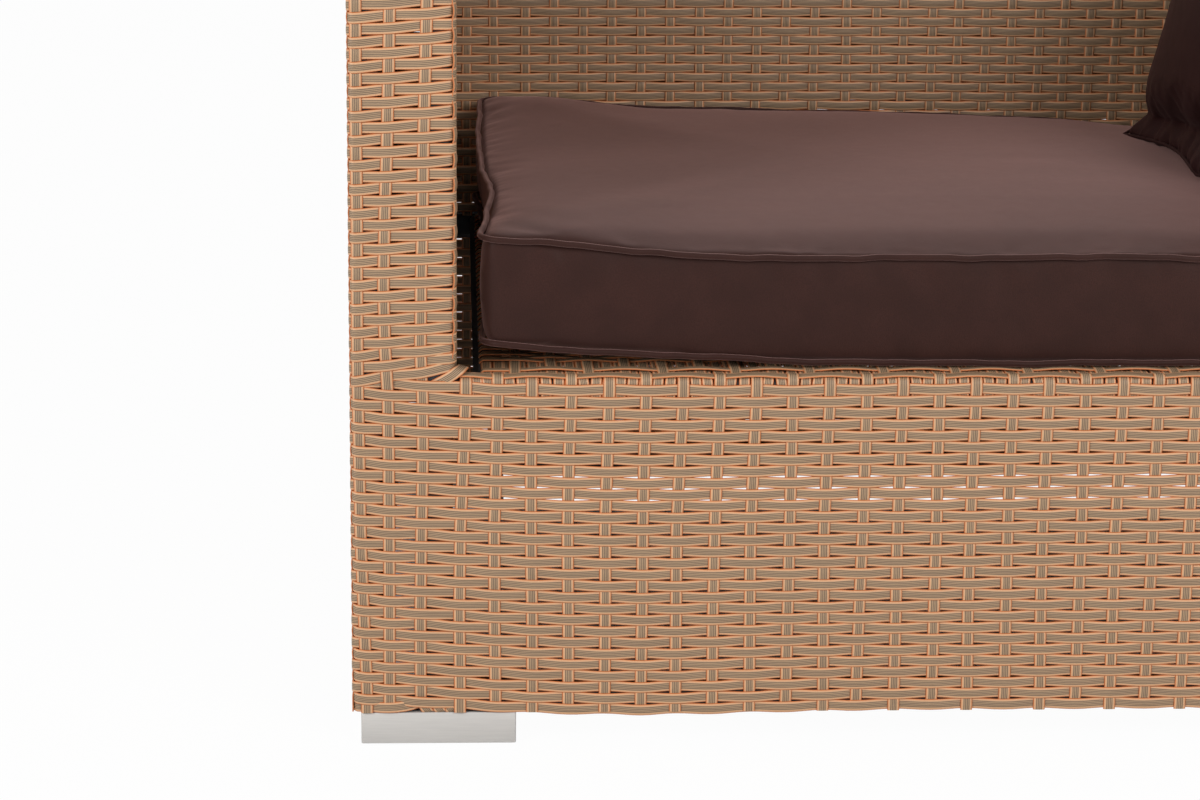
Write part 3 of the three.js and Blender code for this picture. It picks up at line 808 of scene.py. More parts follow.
def upper_path():
    """The path of the rows around the arms and the rear, from the right arm's inner face."""
    corners = [
        (-F["arm"], F["back"], 0),
        (-F["arm"], F["front"], 0),
        (F["right"], F["front"], 0),
        (F["right"], F["rear"], 0),
        (F["left"], F["rear"], 0),
        (F["left"], F["front"], 0),
        (F["arm"], F["front"], 0),
        (F["arm"], F["back"], 0),
    ]
    inner, outer = [EDGE_RADIUS] * 2, [ROW_TURN] * 4
    return Path(corners, inner + outer + inner, UP)


BASE_PATH = base_path()
UPPER_PATH = upper_path()


def base_stakes():
    """Every stake around the base, as places on the ground plan, in order with their parity."""
    places = [(x, F["front"]) for x in FRONT]
    places += [(F["right"], y) for y in SIDE]
    places += [(x, F["rear"]) for x in reversed(REAR)]
    places += [(F["left"], y) for y in reversed(SIDE)]
    return list(enumerate(places))


BASE_STAKES = base_stakes()
TOTAL = len(BASE_STAKES)
# The parity of the stake at each arm's inner corner, by side
CORNER_PARITY = {-1: TOTAL + ARM_STAKES, 1: len(FRONT) - ARM_STAKES - 1}
# The side stakes that also come down an arm's inner face, counted from the front
INNER_SIDE = [y for y in SIDE[1:] if y < BACK_FACE - ROUND]


def upper_stakes():
    """Every stake around the arms and rear above the deck, with the same parity as below it."""
    x, y = CORNER_STAKE
    first, last = CORNER_PARITY[1], CORNER_PARITY[-1]
    right = [(first - 1 - i, (-F["arm"], y)) for i, y in enumerate(INNER_SIDE)]
    right = list(reversed(right)) + [(first, (-x, y))]
    around = [entry for entry in BASE_STAKES if entry[0] > first]
    left = [(TOTAL + i, BASE_STAKES[i][1]) for i in range(ARM_STAKES)]
    left += [(last, (x, y))]
    left += [(last + 1 + i, (F["arm"], y)) for i, y in enumerate(INNER_SIDE)]
    return right + around + left


def front_number(parity):
    """Which of the front's stakes an arm's row crosses there, or -1 for another stake."""
    if TOTAL <= parity < CORNER_PARITY[-1]:
        return parity - TOTAL
    return parity if CORNER_PARITY[1] < parity < len(FRONT) else -1


def crossings(path, stakes):
    """How far along a path each stake crosses it, and its parity."""
    distances = [path.distance_to(x, y, 0.0) for _, (x, y) in stakes]
    return np.array(distances), np.array([parity for parity, _ in stakes])


def spread(marks, shares, more, gap):
    """Places at shares of each span between the marks, and more, none closer than a gap."""
    spans = [a + (b - a) * share for a, b in zip(marks[:-1], marks[1:]) for share in shares]
    samples = np.array(sorted(set(np.round([*spans, marks[-1], *more], 6))))
    return samples[np.concatenate([[True], np.diff(samples) > gap])]


def row_samples(path, places):
    """Distances to sample a row at: four to a span, and the turns of its corners."""
    ends = [] if path.closed else [0.0, path.length]
    turns = [d for d in path.lengths if np.min(np.abs(places - d)) > 0.0]
    samples = spread(places, (0.0, 0.25, 0.5, 0.75), ends + turns, 0.4 * MM)
    return samples[samples < path.length - 1 * MM] if path.closed else samples


def swing(count):
    """A row's swing out and in, and its push sideways, by how many stakes it has passed."""
    phase = np.cos(math.pi * count)
    return smooth_sign(phase, ROW_SWING), -phase


def wander(random, amount, length):
    """A slow sideways drift along a strand."""
    phase, pace = random.uniform(0, TURN), random.uniform(0.8, 1.3)
    return lambda distance: amount * np.sin(distance / length * pace * TURN + phase)


def weave_row(strands, path, marks, parity, samples, height, random, drift=DRIFT, lower=0.0):
    """Adds one row. marks are the places and parities of the stakes that it crosses.

    height gives its level at each sample, and lower how far it is pressed in there."""
    places, parities = marks
    count = np.interp(samples, places, parities.astype(float))
    if path.closed:
        before = samples < places[0]
        after = samples > places[-1]
        gap = path.length - places[-1] + places[0]
        count[after] = parities[-1] + (samples[after] - places[-1]) / gap
        count[before] = parities[0] - (places[0] - samples[before]) / gap
    wave, sway = swing(count + parity + 1)
    place, out = path.at(samples)
    place[:, 2] += height + wander(random, *drift)(samples)
    strands.add(place, out, UP, wave - lower, sway, random.uniform(), path.closed)


def base_climb(samples):
    """How the base's rows climb towards the two front corners."""
    climb = 0
    for x in (F["left"], F["right"]):
        gap = np.abs(samples - BASE_PATH.distance_to(x, F["front"], 0.0))
        gap = np.minimum(gap, BASE_PATH.length - gap)
        climb = climb + CORNER_CLIMB * np.exp(-gap / CORNER_REACH)
    return climb


def from_front(place):
    """How much of the front's unevenness is left at a place: it settles along the side walls."""
    return np.exp(-np.maximum(place[:, 1] - F["front"] - EDGE_RADIUS, 0) / DROOP_FADE)


def base_heights(samples, level):
    """How far above its level a base row runs at each sample."""
    place, _ = BASE_PATH.at(samples)
    across = (place[:, 0] + HALF_WIDTH) / MM
    hang = droop(across, level, DROOP_PLACES, DROOP_HEIGHTS, APRON_DROOPS)
    return base_climb(samples) - hang * from_front(place)


def arm_heights(samples, row):
    """How an arm's rows climb across its front, more near the deck, and settle along its walls."""
    fan = (FAN_LEAST + FAN_MORE * math.exp(-row / FAN_ROWS)) * MM
    place, _ = UPPER_PATH.at(samples)
    inward = HALF_WIDTH - np.abs(place[:, 0])
    across = np.clip(inward, 0, HALF_WIDTH + ARM_FACE)
    climb = (across - FAN_CENTRE) / FAN_REACH * fan
    places, heights = ARM_DROOP_PLACES, ARM_DROOP_HEIGHTS
    hang = droop(across / MM, upper_level(row), places, heights, ARM_DROOPS)
    settle = from_front(place)
    return (climb - hang) * settle - REAR_DROP * (1 - settle)


def base_crossings(x, y):
    """The heights where a stake at a place on the plan crosses the base's rows, upwards."""
    at = np.array([BASE_PATH.distance_to(x, y, 0)])
    levels = [base_level(row) for row in BASE_UPWARDS]
    return [level + base_heights(at, level)[0] for level in levels]


def upper_crossings(x, y, rows):
    """The heights where a stake at a place on the plan crosses the upper rows."""
    at = np.array([UPPER_PATH.distance_to(x, y, 0)])
    return [upper_level(row) + arm_heights(at, row)[0] for row in rows]


def leaned(places, numbers, level):
    """Where a row crosses the stakes, with each front stake where it stands at the row's level."""
    shift = [lean(n, level) if 0 <= n < len(FRONT) else 0.0 for n in numbers]
    return places + np.array(shift)


def rng():
    return np.random.default_rng(bpy.context.scene.sofa_weave.seed)


def front_corner(side, table):
    """A line given in millimetres from a front corner, and its turns in radians."""
    table = np.array(table, float)
    place = table[:, :3] * MM - FRONT_LEFT
    place[:, 0] *= -side
    return place, np.radians(table[:, 3])


# The short row at a front corner, and an end wound round the rail: three places and a turn
LAST_ROW = (
    (5.5, 62, 33.6, 0), (3.4, 44, 33.8, 0), (2.0, 26, 34, 0), (1.5, 13, 34.2, 8),
    (2.0, 7.5, 34.3, 32), (4.4, 4, 34.4, 62), (8, 3.2, 34.4, 84), (13, 3.4, 34.3, 90),
    (19, 2.4, 34.2, 90), (25, 1.2, 34, 90), (32, 0.7, 34, 90), (39, 1.0, 34.3, 90),
    (46, 1.8, 35, 90), (52, 3.0, 36, 90), (57, 4.6, 37.4, 90), (62, 5.8, 39.4, 90),
)
WRAP = (
    (0, 4.6, 42, 0), (2.6, 3.2, 37, 0), (5.4, 2.6, 32.4, 6), (7.4, 3.4, 29.8, 35),
    (8.6, 7.0, 28.6, 70), (9.6, 14, 28.4, 90), (10.6, 24, 28.4, 90),
)
WRAP_STARTS = (58, 69, 78.5)


class SOFA_OT_base_rows(bpy.types.Operator):
    """Weaves the rows that run around the base, under the deck"""

    bl_idname = "sofa.base_rows"
    bl_label = "Base rows"

    def execute(self, context):
        random = rng()
        places, numbers = crossings(BASE_PATH, BASE_STAKES)
        order = np.argsort(places)
        places, numbers = places[order], numbers[order]
        parities = np.arange(len(order)) + numbers[0] % 2
        for part, rows in enumerate((range(15), range(15, APRON_ROWS)), 1):
            strands = Strands()
            for row in rows:
                level = base_level(row)
                marks = (leaned(places, numbers, level), parities)
                samples = row_samples(BASE_PATH, marks[0])
                height = level + base_heights(samples, level)
                share = (base_climb(samples) / CORNER_CLIMB) ** 2
                lower = FIRST_ROW_PRESS * share * (row == 0)
                weave_row(
                    strands, BASE_PATH, marks, row + ROW_PARITY, samples, height, random,
                    lower=lower,
                )
            if part == 2:
                self.last_row(strands, random)
            swept_rows(f"base_rows_{part}", strands, ["front_apron_weave"] if part == 1 else ())
        return {"FINISHED"}

    def last_row(self, strands, random):
        """A short row fills the wedge over the foot, beside the ends wound round the rail."""
        for side, _ in SIDES:
            place, turn = front_corner(side, LAST_ROW)
            outward = np.column_stack([-np.cos(turn), -np.sin(turn), np.zeros(len(turn))])
            outward[:, 0] *= -side
            strands.add_plain(place, outward, UP, random)
            for start in WRAP_STARTS:
                place, dip = front_corner(side, [(start + x, *rest) for x, *rest in WRAP])
                outward = np.column_stack([np.zeros(len(dip)), -np.cos(dip), -np.sin(dip)])
                strands.add_plain(place, outward, RIGHTWARD, random)


class SOFA_OT_upper_rows(bpy.types.Operator):
    """Weaves the rows that run around the arms and the rear, above the deck"""

    bl_idname = "sofa.upper_rows"
    bl_label = "Upper rows"

    def execute(self, context):
        random = rng()
        places, parities = crossings(UPPER_PATH, upper_stakes())
        numbers = [front_number(n) for n in parities]
        bands = (
            (range(13), ["left_arm_front_weave", "right_arm_front_weave"]),
            (range(13, 25), ["left_arm_inner_weave", "right_arm_inner_weave"]),
            (range(25, ARM_ROWS), ["left_arm_outer_weave", "right_arm_outer_weave", "rear_weave"]),
        )
        for part, (rows, nodes) in enumerate(bands, 1):
            strands = Strands()
            for row in rows:
                level = upper_level(row)
                marks = (leaned(places, numbers, level), parities)
                samples = row_samples(UPPER_PATH, marks[0])
                height = level + arm_heights(samples, row)
                weave_row(strands, UPPER_PATH, marks, row + ROW_PARITY, samples, height, random)
            swept_rows(f"upper_rows_{part}", strands, nodes)
        return {"FINISHED"}


def back_line(end, level, axis):
    """A straight path along the back, and where its stakes cross it."""
    path = Path([(end, *level), (-end, *level)], EDGE_RADIUS, axis)
    return path, np.array(from_left(BACK_PLACES)) - path.points[0][0]


class SOFA_OT_back_rows(bpy.types.Operator):
    """Weaves the rows of the back's inner face"""

    bl_idname = "sofa.back_rows"
    bl_label = "Back rows"

    def execute(self, context):
        random = rng()
        path, places = back_line(ARM_FACE - 2 * MM, (F["back"], 0), UP)
        marks = (places, np.arange(len(places)))
        samples = row_samples(path, places)
        hang_places = np.array([10, 110, 460, 650]) * MM
        hang = np.interp(samples, hang_places, np.array([0.9, 0.1, -0.8, -0.4]) * MM)
        strands = Strands()
        for row in range(-BACK_ROWS_BELOW, BACK_ROWS_ABOVE + 1):
            height = back_level(row) - hang
            weave_row(strands, path, marks, row, samples, height, random, BACK_DRIFT)
        swept_rows("back_rows", strands, ["back_inner_weave"])
        return {"FINISHED"}


def flat_rows(strands, path, places, shifts, side, random, first=0):
    """Rows side by side on a level face, each at its own shift."""
    samples = row_samples(path, places)
    count = np.interp(samples, places, np.arange(len(places)).astype(float))
    for number, shift in enumerate(shifts):
        wave, sway = swing(count + number + first)
        place, out = path.at(samples)
        strands.add(place + shift, out, side, wave, sway, random.uniform())


def top_offsets(low, high):
    """Where the rows of a top lie between its two edges."""
    pitch = (high - low - 2 * ROUND) / TOP_ROWS
    return [low + ROUND + pitch * (i + 0.5) for i in range(TOP_ROWS)]


class SOFA_OT_top_rows(bpy.types.Operator):
    """Weaves the rows along the tops of the arms and the back"""

    bl_idname = "sofa.top_rows"
    bl_label = "Top rows"

    def execute(self, context):
        weave = context.scene.sofa_weave
        random = rng()
        tucked = TOP - ROUND - 7 * MM
        corners = [
            (0, F["front"], tucked),
            (0, F["front"], F["top"]),
            (0, F["rear"], F["top"]),
            (0, F["rear"], tucked),
        ]
        path = Path(corners, EDGE_RADIUS, LEFTWARD)
        places = np.array([path.distance_to(0, y, F["top"]) for y in SIDE])
        for side, name in SIDES:
            strands = Strands()
            shifts = [RIGHTWARD * (-side * x) for x in top_offsets(-HALF_WIDTH, ARM_FACE)]
            flat_rows(strands, path, places, shifts, RIGHTWARD, random)
            swept_rows(f"{name}_arm_top_rows", strands, [f"{name}_arm_top_weave"])
        path, places = back_line(ARM_FACE - 6 * MM, (0, F["top"]), REARWARD)
        strands = Strands()
        shifts = [REARWARD * y for y in top_offsets(BACK_FACE, HALF_DEPTH)]
        flat_rows(strands, path, places, shifts, REARWARD, random)
        swept_rows("back_top_rows", strands, ["back_top_weave"])
        dress(swept("edge_strands", self.edges(random), 7.5 * MM, weave.rise))
        return {"FINISHED"}

    def edges(self, random):
        """A strand lies under the stakes wherever they turn over a top edge."""
        slant = math.sqrt(0.5)
        inset = EDGE_RADIUS * (1 - slant)
        front, rear, back = F["front"] + 5 * MM, F["rear"] - inset, F["back"] + inset
        outer, inner = F["left"] + inset, F["arm"] - inset
        lines = []
        for side in (1, -1):
            lines.append(((side * outer, front), (side * outer, F["rear"] - 5 * MM), (-side, 0)))
            lines.append(((side * inner, front), (side * inner, F["back"]), (side, 0)))
        lines.append(((inner, rear), (-inner, rear), (0, 1)))
        lines.append(((inner, back), (-inner, back), (0, -1)))
        strands = Strands()
        for start, end, out in lines:
            place = np.linspace((*start, F["top"] - inset), (*end, F["top"] - inset), 40)
            outward = np.tile(np.array([*out, 1]) * slant, (len(place), 1))
            side = np.array([-out[0], -out[1], 1]) * slant
            strands.add(place, outward, side, -1.5, 0.0, random.uniform())
        return strands


DECK_PITCH = 10.0 * MM
DECK_FIRST = 25.5 * MM
DECK_SECOND = 60 * MM
DECK_LIFT = 0.9 * MM


def deck_offsets():
    """How far behind the front face each deck row lies. The wound rail shows after the first."""
    rest = BACK_FACE + HALF_DEPTH - DECK_SECOND - 6 * MM
    count = int(rest / DECK_PITCH) + 1
    return [DECK_FIRST] + [DECK_SECOND + DECK_PITCH * i for i in range(count)]


def deck_places():
    """Where the deck's own stakes stand, half way between the front's."""
    inner = APRON[1:-1]
    return [(before + after) / 2 for before, after in zip(inner[:-1], inner[1:])]


# The strand that climbs round the arm's inner corner: three places and a turn
CORNER_STRAND = (
    (58, 4.6, 310.5, 0), (65, 4.4, 314.3, 0), (72, 3.6, 318.3, 0), (78, 2.6, 321.7, 0),
    (83, 2.0, 324.7, 0), (87, 2.0, 327.4, 0), (90, 2.8, 329.6, 25), (92.4, 4.8, 330.9, 50),
    (94, 8.5, 331.4, 74), (95, 14, 331, 86), (95.4, 20, 330, 92),
)
BORDER_TURN = math.radians(80)


class SOFA_OT_deck_rows(bpy.types.Operator):
    """Weaves the rows across the seat deck, its rounded border and the strand round the rail"""

    bl_idname = "sofa.deck_rows"
    bl_label = "Deck rows"

    def execute(self, context):
        random = rng()
        strands = Strands()
        end = ARM_FACE + SLOT + 5.5 * MM
        tucked = F["deck"] - 20 * MM
        corners = [(end, 0, tucked), (end, 0, F["deck"]), (-end, 0, F["deck"]), (-end, 0, tucked)]
        path = Path(corners, 4 * MM, REARWARD)
        places = np.array([path.distance_to(x, 0, F["deck"]) for x in deck_places()])
        offsets = deck_offsets()
        shifts = [np.array([0, -HALF_DEPTH + offset, 0]) for offset in offsets]
        shifts[0][2] = DECK_LIFT
        flat_rows(strands, path, places, shifts, REARWARD, random, 1)
        self.border(strands, random)
        for side, _ in SIDES:
            self.corner_strand(strands, side, random)
        swept_rows("deck_rows", strands, ["seat_deck_weave"])
        self.wind_rail(random)
        return {"FINISHED"}

    def border(self, strands, random):
        """The border strand lies on the rounded front edge, turned almost flat."""
        centre = np.array([0, -HALF_DEPTH + ROUND, DECK - ROUND])
        lean = np.array([0, -math.cos(BORDER_TURN), math.sin(BORDER_TURN)])
        side = np.array([0, math.sin(BORDER_TURN), math.cos(BORDER_TURN)])
        end = ARM_FACE - 3 * MM
        path = Path([(end, 0, 0), (-end, 0, 0)], EDGE_RADIUS, UP)
        places = np.array([x - path.points[0][0] for x in APRON])
        samples = row_samples(path, places)
        count = np.interp(samples, places, np.arange(len(APRON)) + ARM_STAKES)
        wave, _ = swing(count + 1)
        place, _ = path.at(samples)
        place = place + centre + lean * EDGE_RADIUS
        outward = np.broadcast_to(lean, place.shape)
        strands.add(place, outward, side, wave, 0.0, random.uniform())

    def corner_strand(self, strands, side, random):
        """It climbs from behind the apron's top row and turns round the arm's inner corner."""
        place, turn = front_corner(side, CORNER_STRAND)
        outward = np.column_stack([0.25 * np.sin(turn), -np.cos(turn), np.sin(turn)])
        outward[:, 0] *= -side
        strands.add_plain(place, outward, UP, random)

    def wind_rail(self, random):
        """The strand wound round the front rail, seen under the border and behind the first row."""
        strands = Strands()
        places = [
            a + (b - a) * share
            for a, b in zip(APRON[:-1], APRON[1:])
            for share in (0.0, 0.335, 0.67)
        ]
        front = F["front"] + 1.3 * MM
        top = DECK - 3.3 * MM
        for x in [*places, APRON[-1]]:
            x += random.uniform(-0.5, 0.5) * MM
            lean = random.uniform(-0.8, 0.8) * MM
            reach = 57 * MM if abs(x) < -ARM_FACE - 22 * MM else 9 * MM
            corners = [(x, front, DECK - 20 * MM), (x, front, top), (x, F["front"] + reach, top)]
            path = Path(corners, 5 * MM, LEFTWARD)
            place, out = path.at(path.lengths)
            place[:, 0] += np.linspace(-lean, lean, len(place))
            strands.add_plain(place, out, RIGHTWARD, random)
        dress(swept("wound_rail_strand", strands, 9.4 * MM, 0.0))


# Stakes


def stake(strands, path, marks, signs, random, number=None):
    """Adds one stake along a path. At each of its marks it lies out, where the sign is 1, or in.

    A front stake's number gives it its own lean."""
    marks = np.array(marks)
    samples = spread(marks, (0.0, 0.33, 0.67), [0.0, path.length, *path.lengths], 0.5 * MM)
    count = np.interp(samples, marks, np.arange(len(marks)))
    before = np.clip(np.floor(count).astype(int), 0, len(marks) - 2)
    step = (1 - np.cos(math.pi * (count - before))) / 2
    signs = np.array(signs, float)
    sign = signs[before] + (signs[before + 1] - signs[before]) * step
    wave = smooth_sign(sign, STAKE_SWING)
    place, out = path.at(samples)
    amount = STAKE_DRIFT if number is None else FRONT_STAKE_DRIFT
    drift = wander(random, amount, STAKE_DRIFT_LENGTH)
    side = np.cross(out, path.at(samples + 1e-4)[0] - place)
    length = np.linalg.norm(side, axis=1, keepdims=True)
    side = np.where(length > 1e-9, side / np.maximum(length, 1e-9), side)
    side[-1] = side[-2]
    place = place + side * drift(samples)[:, None]
    if number is not None:
        place[:, 0] += lean(number, place[:, 2])
    strands.add(place, out, side, wave, 0.0, random.uniform())


def alternate(start, rows):
    """Whether a stake lies over each of the rows, as 1 or -1."""
    return [1 if (start + row) % 2 else -1 for row in rows]


BASE_UPWARDS = list(reversed(range(APRON_ROWS)))
UPPER_UPWARDS = list(range(ARM_ROWS))


def front_path(x, start, level, reach):
    """Up the front from a start height to a level, and rearward there for its reach."""
    front = F["front"]
    corners = [(x, front, start), (x, front, level), (x, front + reach, level)]
    return Path(corners, EDGE_RADIUS, LEFTWARD)


class SOFA_OT_front_stakes(bpy.types.Operator):
    """Stands the front's stakes: up the apron and over the deck, or up the front of an arm"""

    bl_idname = "sofa.front_stakes"
    bl_label = "Front stakes"

    def execute(self, context):
        random = rng()
        deck = Strands()
        arms = Strands()
        for number, x in enumerate(FRONT):
            levels = base_crossings(x, F["front"])
            signs = alternate(number, BASE_UPWARDS)
            if abs(x) > -ARM_FACE:
                self.arm_stake(arms, number, x, levels, signs, random)
            else:
                self.apron_stake(deck, number, x, levels, signs, random)
        self.deck_stakes(deck, random)
        swept_stakes("deck_stakes", deck)
        for side, _ in SIDES:
            self.corner_stake(arms, side, random)
        swept_stakes("arm_front_stakes", arms)
        return {"FINISHED"}

    def arm_stake(self, strands, number, x, levels, signs, random):
        """Up the front of an arm and onto its top, from under the short row over the foot."""
        levels = [31.5 * MM] + levels + upper_crossings(x, F["front"], UPPER_UPWARDS)
        signs = [1 if number in END_STAKES else -2.2] + signs + alternate(number, UPPER_UPWARDS)
        innermost = number in (ARM_STAKES - 1, len(FRONT) - ARM_STAKES)
        path = front_path(x, 42 * MM if innermost else BOTTOM, F["top"], 26 * MM)
        marks = [path.distance_to(x, F["front"], z) for z in levels]
        marks.append(marks[-1] + 13 * MM)
        if number in END_STAKES:
            signs = [sign if sign > 0 else -1.5 for sign in signs]
        stake(strands, path, marks, signs + [-signs[-1]], random, number)

    def apron_stake(self, strands, number, x, levels, signs, random):
        """Up the apron and over the deck's border."""
        path = front_path(x, BOTTOM, F["deck"], 17 * MM)
        marks = [path.distance_to(x, F["front"], z) for z in levels]
        marks.append(path.distance_to(x, F["front"] + 4 * MM, F["deck"] - 0.5 * MM))
        marks.append(path.length - 1 * MM)
        stake(strands, path, marks, signs + [-signs[-1], -1.6], random, number)

    def corner_stake(self, strands, side, random):
        """Up the round inner corner of an arm's front."""
        corner = (side * -CORNER_STAKE[0], CORNER_STAKE[1])
        path = Path([(*corner, DECK + 14 * MM), (*corner, TOP - 6 * MM)], EDGE_RADIUS, LEFTWARD)
        path.normals[:] = (side * -math.sin(CORNER_TURN), -math.cos(CORNER_TURN), 0)
        rows = UPPER_UPWARDS[1:]
        levels = upper_crossings(side * -F["arm"], F["front"], rows)
        marks = [path.distance_to(*corner, level) for level in levels]
        stake(strands, path, marks, alternate(CORNER_PARITY[side], rows), random)

    def deck_stakes(self, strands, random):
        """The strands that run from front to back across the deck, between the front's stakes."""
        for number, x in enumerate(deck_places()):
            corners = [(x, F["front"] + 6 * MM, F["deck"]), (x, BACK_FACE - 2 * MM, F["deck"])]
            path = Path(corners, EDGE_RADIUS, LEFTWARD)
            marks = [2 * MM]
            signs = [-1.4]
            for order, offset in enumerate(deck_offsets()):
                marks.append(path.distance_to(x, -HALF_DEPTH + offset, F["deck"]))
                signs.append(-1 if (number + order) % 2 else 1)
                if order == 0:
                    marks += [marks[-1] + 10 * MM, marks[-1] + 26 * MM]
                    signs += [0.6, 0.6]
            stake(strands, path, marks, signs, random)


class SOFA_OT_side_stakes(bpy.types.Operator):
    """Stands the stakes of each side: up the outer face, over the arm and down its inner face"""

    bl_idname = "sofa.side_stakes"
    bl_label = "Side stakes"

    def execute(self, context):
        for side, name in SIDES:
            random = rng()
            strands = Strands()
            for number, y in enumerate(SIDE):
                self.side_stake(strands, side, number, y, random)
            swept_stakes(f"{name}_side_stakes", strands)
        return {"FINISHED"}

    def side_stake(self, strands, side, number, y, random):
        wall = side * -F["left"]
        arm = side * -F["arm"]
        parity = TOTAL - 1 - number if side < 0 else len(FRONT) + number
        signs = alternate(parity, BASE_UPWARDS) + alternate(parity, UPPER_UPWARDS)
        levels = base_crossings(wall, y) + upper_crossings(wall, y, UPPER_UPWARDS)
        comes_down = y in INNER_SIDE
        corners = [(wall, y, BOTTOM), (wall, y, F["top"])]
        if comes_down:
            corners += [(arm, y, F["top"]), (arm, y, DECK - 4 * MM)]
        else:
            corners += [(arm - side * 3 * MM, y, F["top"])]
        path = Path(corners, EDGE_RADIUS, REARWARD if side < 0 else np.array([0, -1.0, 0]))
        marks = [path.distance_to(wall, y, level) for level in levels]
        offsets = top_offsets(-HALF_WIDTH, ARM_FACE)
        marks += [path.distance_to(side * -x, y, F["top"]) for x in offsets]
        signs += alternate(number, range(TOP_ROWS))
        if comes_down:
            rows = UPPER_UPWARDS[::-1]
            inner_parity = CORNER_PARITY[side] - side * (1 + INNER_SIDE.index(y))
            signs += alternate(inner_parity, rows)
            marks += [path.distance_to(arm, y, level) for level in upper_crossings(arm, y, rows)]
        stake(strands, path, marks, signs, random)


class SOFA_OT_rear_stakes(bpy.types.Operator):
    """Stands the stakes of the rear: up the rear face, over the back and down its inner face"""

    bl_idname = "sofa.rear_stakes"
    bl_label = "Rear stakes"

    def execute(self, context):
        random = rng()
        halves = (Strands(), Strands())
        for number, x in enumerate(reversed(REAR)):
            self.rear_stake(halves[number % 2], number, x, random)
        for part, strands in enumerate(halves, 1):
            swept_stakes(f"rear_stakes_{part}", strands)
        return {"FINISHED"}

    def rear_stake(self, strands, number, x, random):
        parity = len(FRONT) + SIDE_STAKES + number
        signs = alternate(parity, BASE_UPWARDS) + alternate(parity, UPPER_UPWARDS)
        corners = [(x, F["rear"], BOTTOM), (x, F["rear"], F["top"])]
        crosses = abs(x) < -ARM_FACE
        if crosses:
            corners += [(x, F["back"], F["top"]), (x, F["back"], DECK - 4 * MM)]
        else:
            corners += [(x, F["rear"] - 26 * MM, F["top"])]
        path = Path(corners, EDGE_RADIUS, RIGHTWARD)
        levels = [base_level(row) for row in BASE_UPWARDS]
        levels += [upper_level(row) - REAR_DROP for row in UPPER_UPWARDS]
        marks = [path.distance_to(x, F["rear"], z) for z in levels]
        if crosses:
            across = REAR.index(x) - ARM_STAKES
            tops = list(enumerate(top_offsets(BACK_FACE, HALF_DEPTH)))[::-1]
            marks += [path.distance_to(x, y, F["top"]) for _, y in tops]
            signs += alternate(across, [order for order, _ in tops])
            rows = range(BACK_ROWS_ABOVE, -BACK_ROWS_BELOW - 1, -1)
            marks += [path.distance_to(x, F["back"], back_level(row)) for row in rows]
            signs += alternate(across + 1, rows)
        else:
            marks.append(marks[-1] + 13 * MM)
            signs.append(-signs[-1])
        stake(strands, path, marks, signs, random)


# Frame and feet


def powder_material():
    colour = bpy.context.scene.sofa_frame.powder
    colours = (shade(colour, 0.85), shade(colour, 1.15))

    def normal(tree):
        return bump(tree, noise(tree, 900.0), 0.25, 0.2 * MM)

    return mottled("powder_coat", colours, 60.0, 0.5, 0.15, 300.0, normal, Metallic=0.3)


def foot_material():
    colour = bpy.context.scene.sofa_frame.foot

    def brushed(tree, scale, detail, stretch):
        return noise(tree, scale, detail, stretch=(1.0, 1.0, stretch))

    def base(tree):
        return mix(tree, brushed(tree, 40.0, 4.0, 22.0), shade(colour, 0.90), shade(colour, 1.07))

    def roughness(tree):
        return 0.42 + brushed(tree, 60.0, 3.0, 30.0) * 0.2

    def normal(tree):
        return bump(tree, brushed(tree, 90.0, 3.0, 30.0), 0.12, 0.2 * MM)

    return surface("satin_aluminium", base, roughness, normal, Metallic=0.25)


class SOFA_OT_frame(bpy.types.Operator):
    """Paints the tube frame and rounds the edges of the feet"""

    bl_idname = "sofa.frame"
    bl_label = "Frame and feet"

    def execute(self, context):
        powder = powder_material()
        aluminium = foot_material()
        black = (linear(24, 24, 24), linear(36, 36, 36))
        glide = mottled("glide_plastic", black, 120.0, 0.6, 0.2, 200.0)
        grey = (linear(150, 152, 156), linear(178, 180, 184))
        zinc = mottled("zinc_steel", grey, 200.0, 0.3, 0.15, 300.0, Metallic=1.0)
        for name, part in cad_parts.items():
            material = powder
            if "glide" in name:
                material = glide
            elif "bolt" in name or name == "zip_slider":
                material = zinc
            paint(part.data, material)
            if name.endswith("_foot"):
                self.round_foot(name, part, aluminium, context.scene.sofa_frame.foot_round)
        return {"FINISHED"}

    def round_foot(self, name, part, material, radius):
        copy = linked(name + "_copy", part.data.copy())
        weld = copy.modifiers.new("weld", "WELD")
        weld.merge_threshold = 0.01 * MM
        bevel = copy.modifiers.new("bevel", "BEVEL")
        bevel.width = radius
        bevel.segments = 3
        bevel.limit_method = "ANGLE"
        bevel.angle_limit = math.radians(60)
        mesh = evaluated(copy)
        smooth_paint(mesh, material)
        mesh.set_sharp_from_angle(angle=math.radians(40))
        bpy.data.objects.remove(copy)
        dress(linked(name + "_block", mesh), nodes=[name])


# Seat cushion. It is sewn from a top, a base and a wall, with piping in both seams.

CUSHION_LOW, CUSHION_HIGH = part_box("seat_cushion")
CUSHION_HALF_WIDTH = (CUSHION_HIGH.x - CUSHION_LOW.x) / 2
CUSHION_HALF_DEPTH = (CUSHION_HIGH.y - CUSHION_LOW.y) / 2
CUSHION_MIDDLE = (CUSHION_HIGH.y + CUSHION_LOW.y) / 2
CUSHION_BASE = CUSHION_LOW.z
CUSHION_EDGE = 96 * MM
CUSHION_CROWN = 23 * MM
CUSHION_CORNER = 11 * MM
SIDE_PULL = 9 * MM
PIPE = 3 * MM
SEAMS = (CUSHION_BASE + PIPE, CUSHION_BASE + CUSHION_EDGE - PIPE)

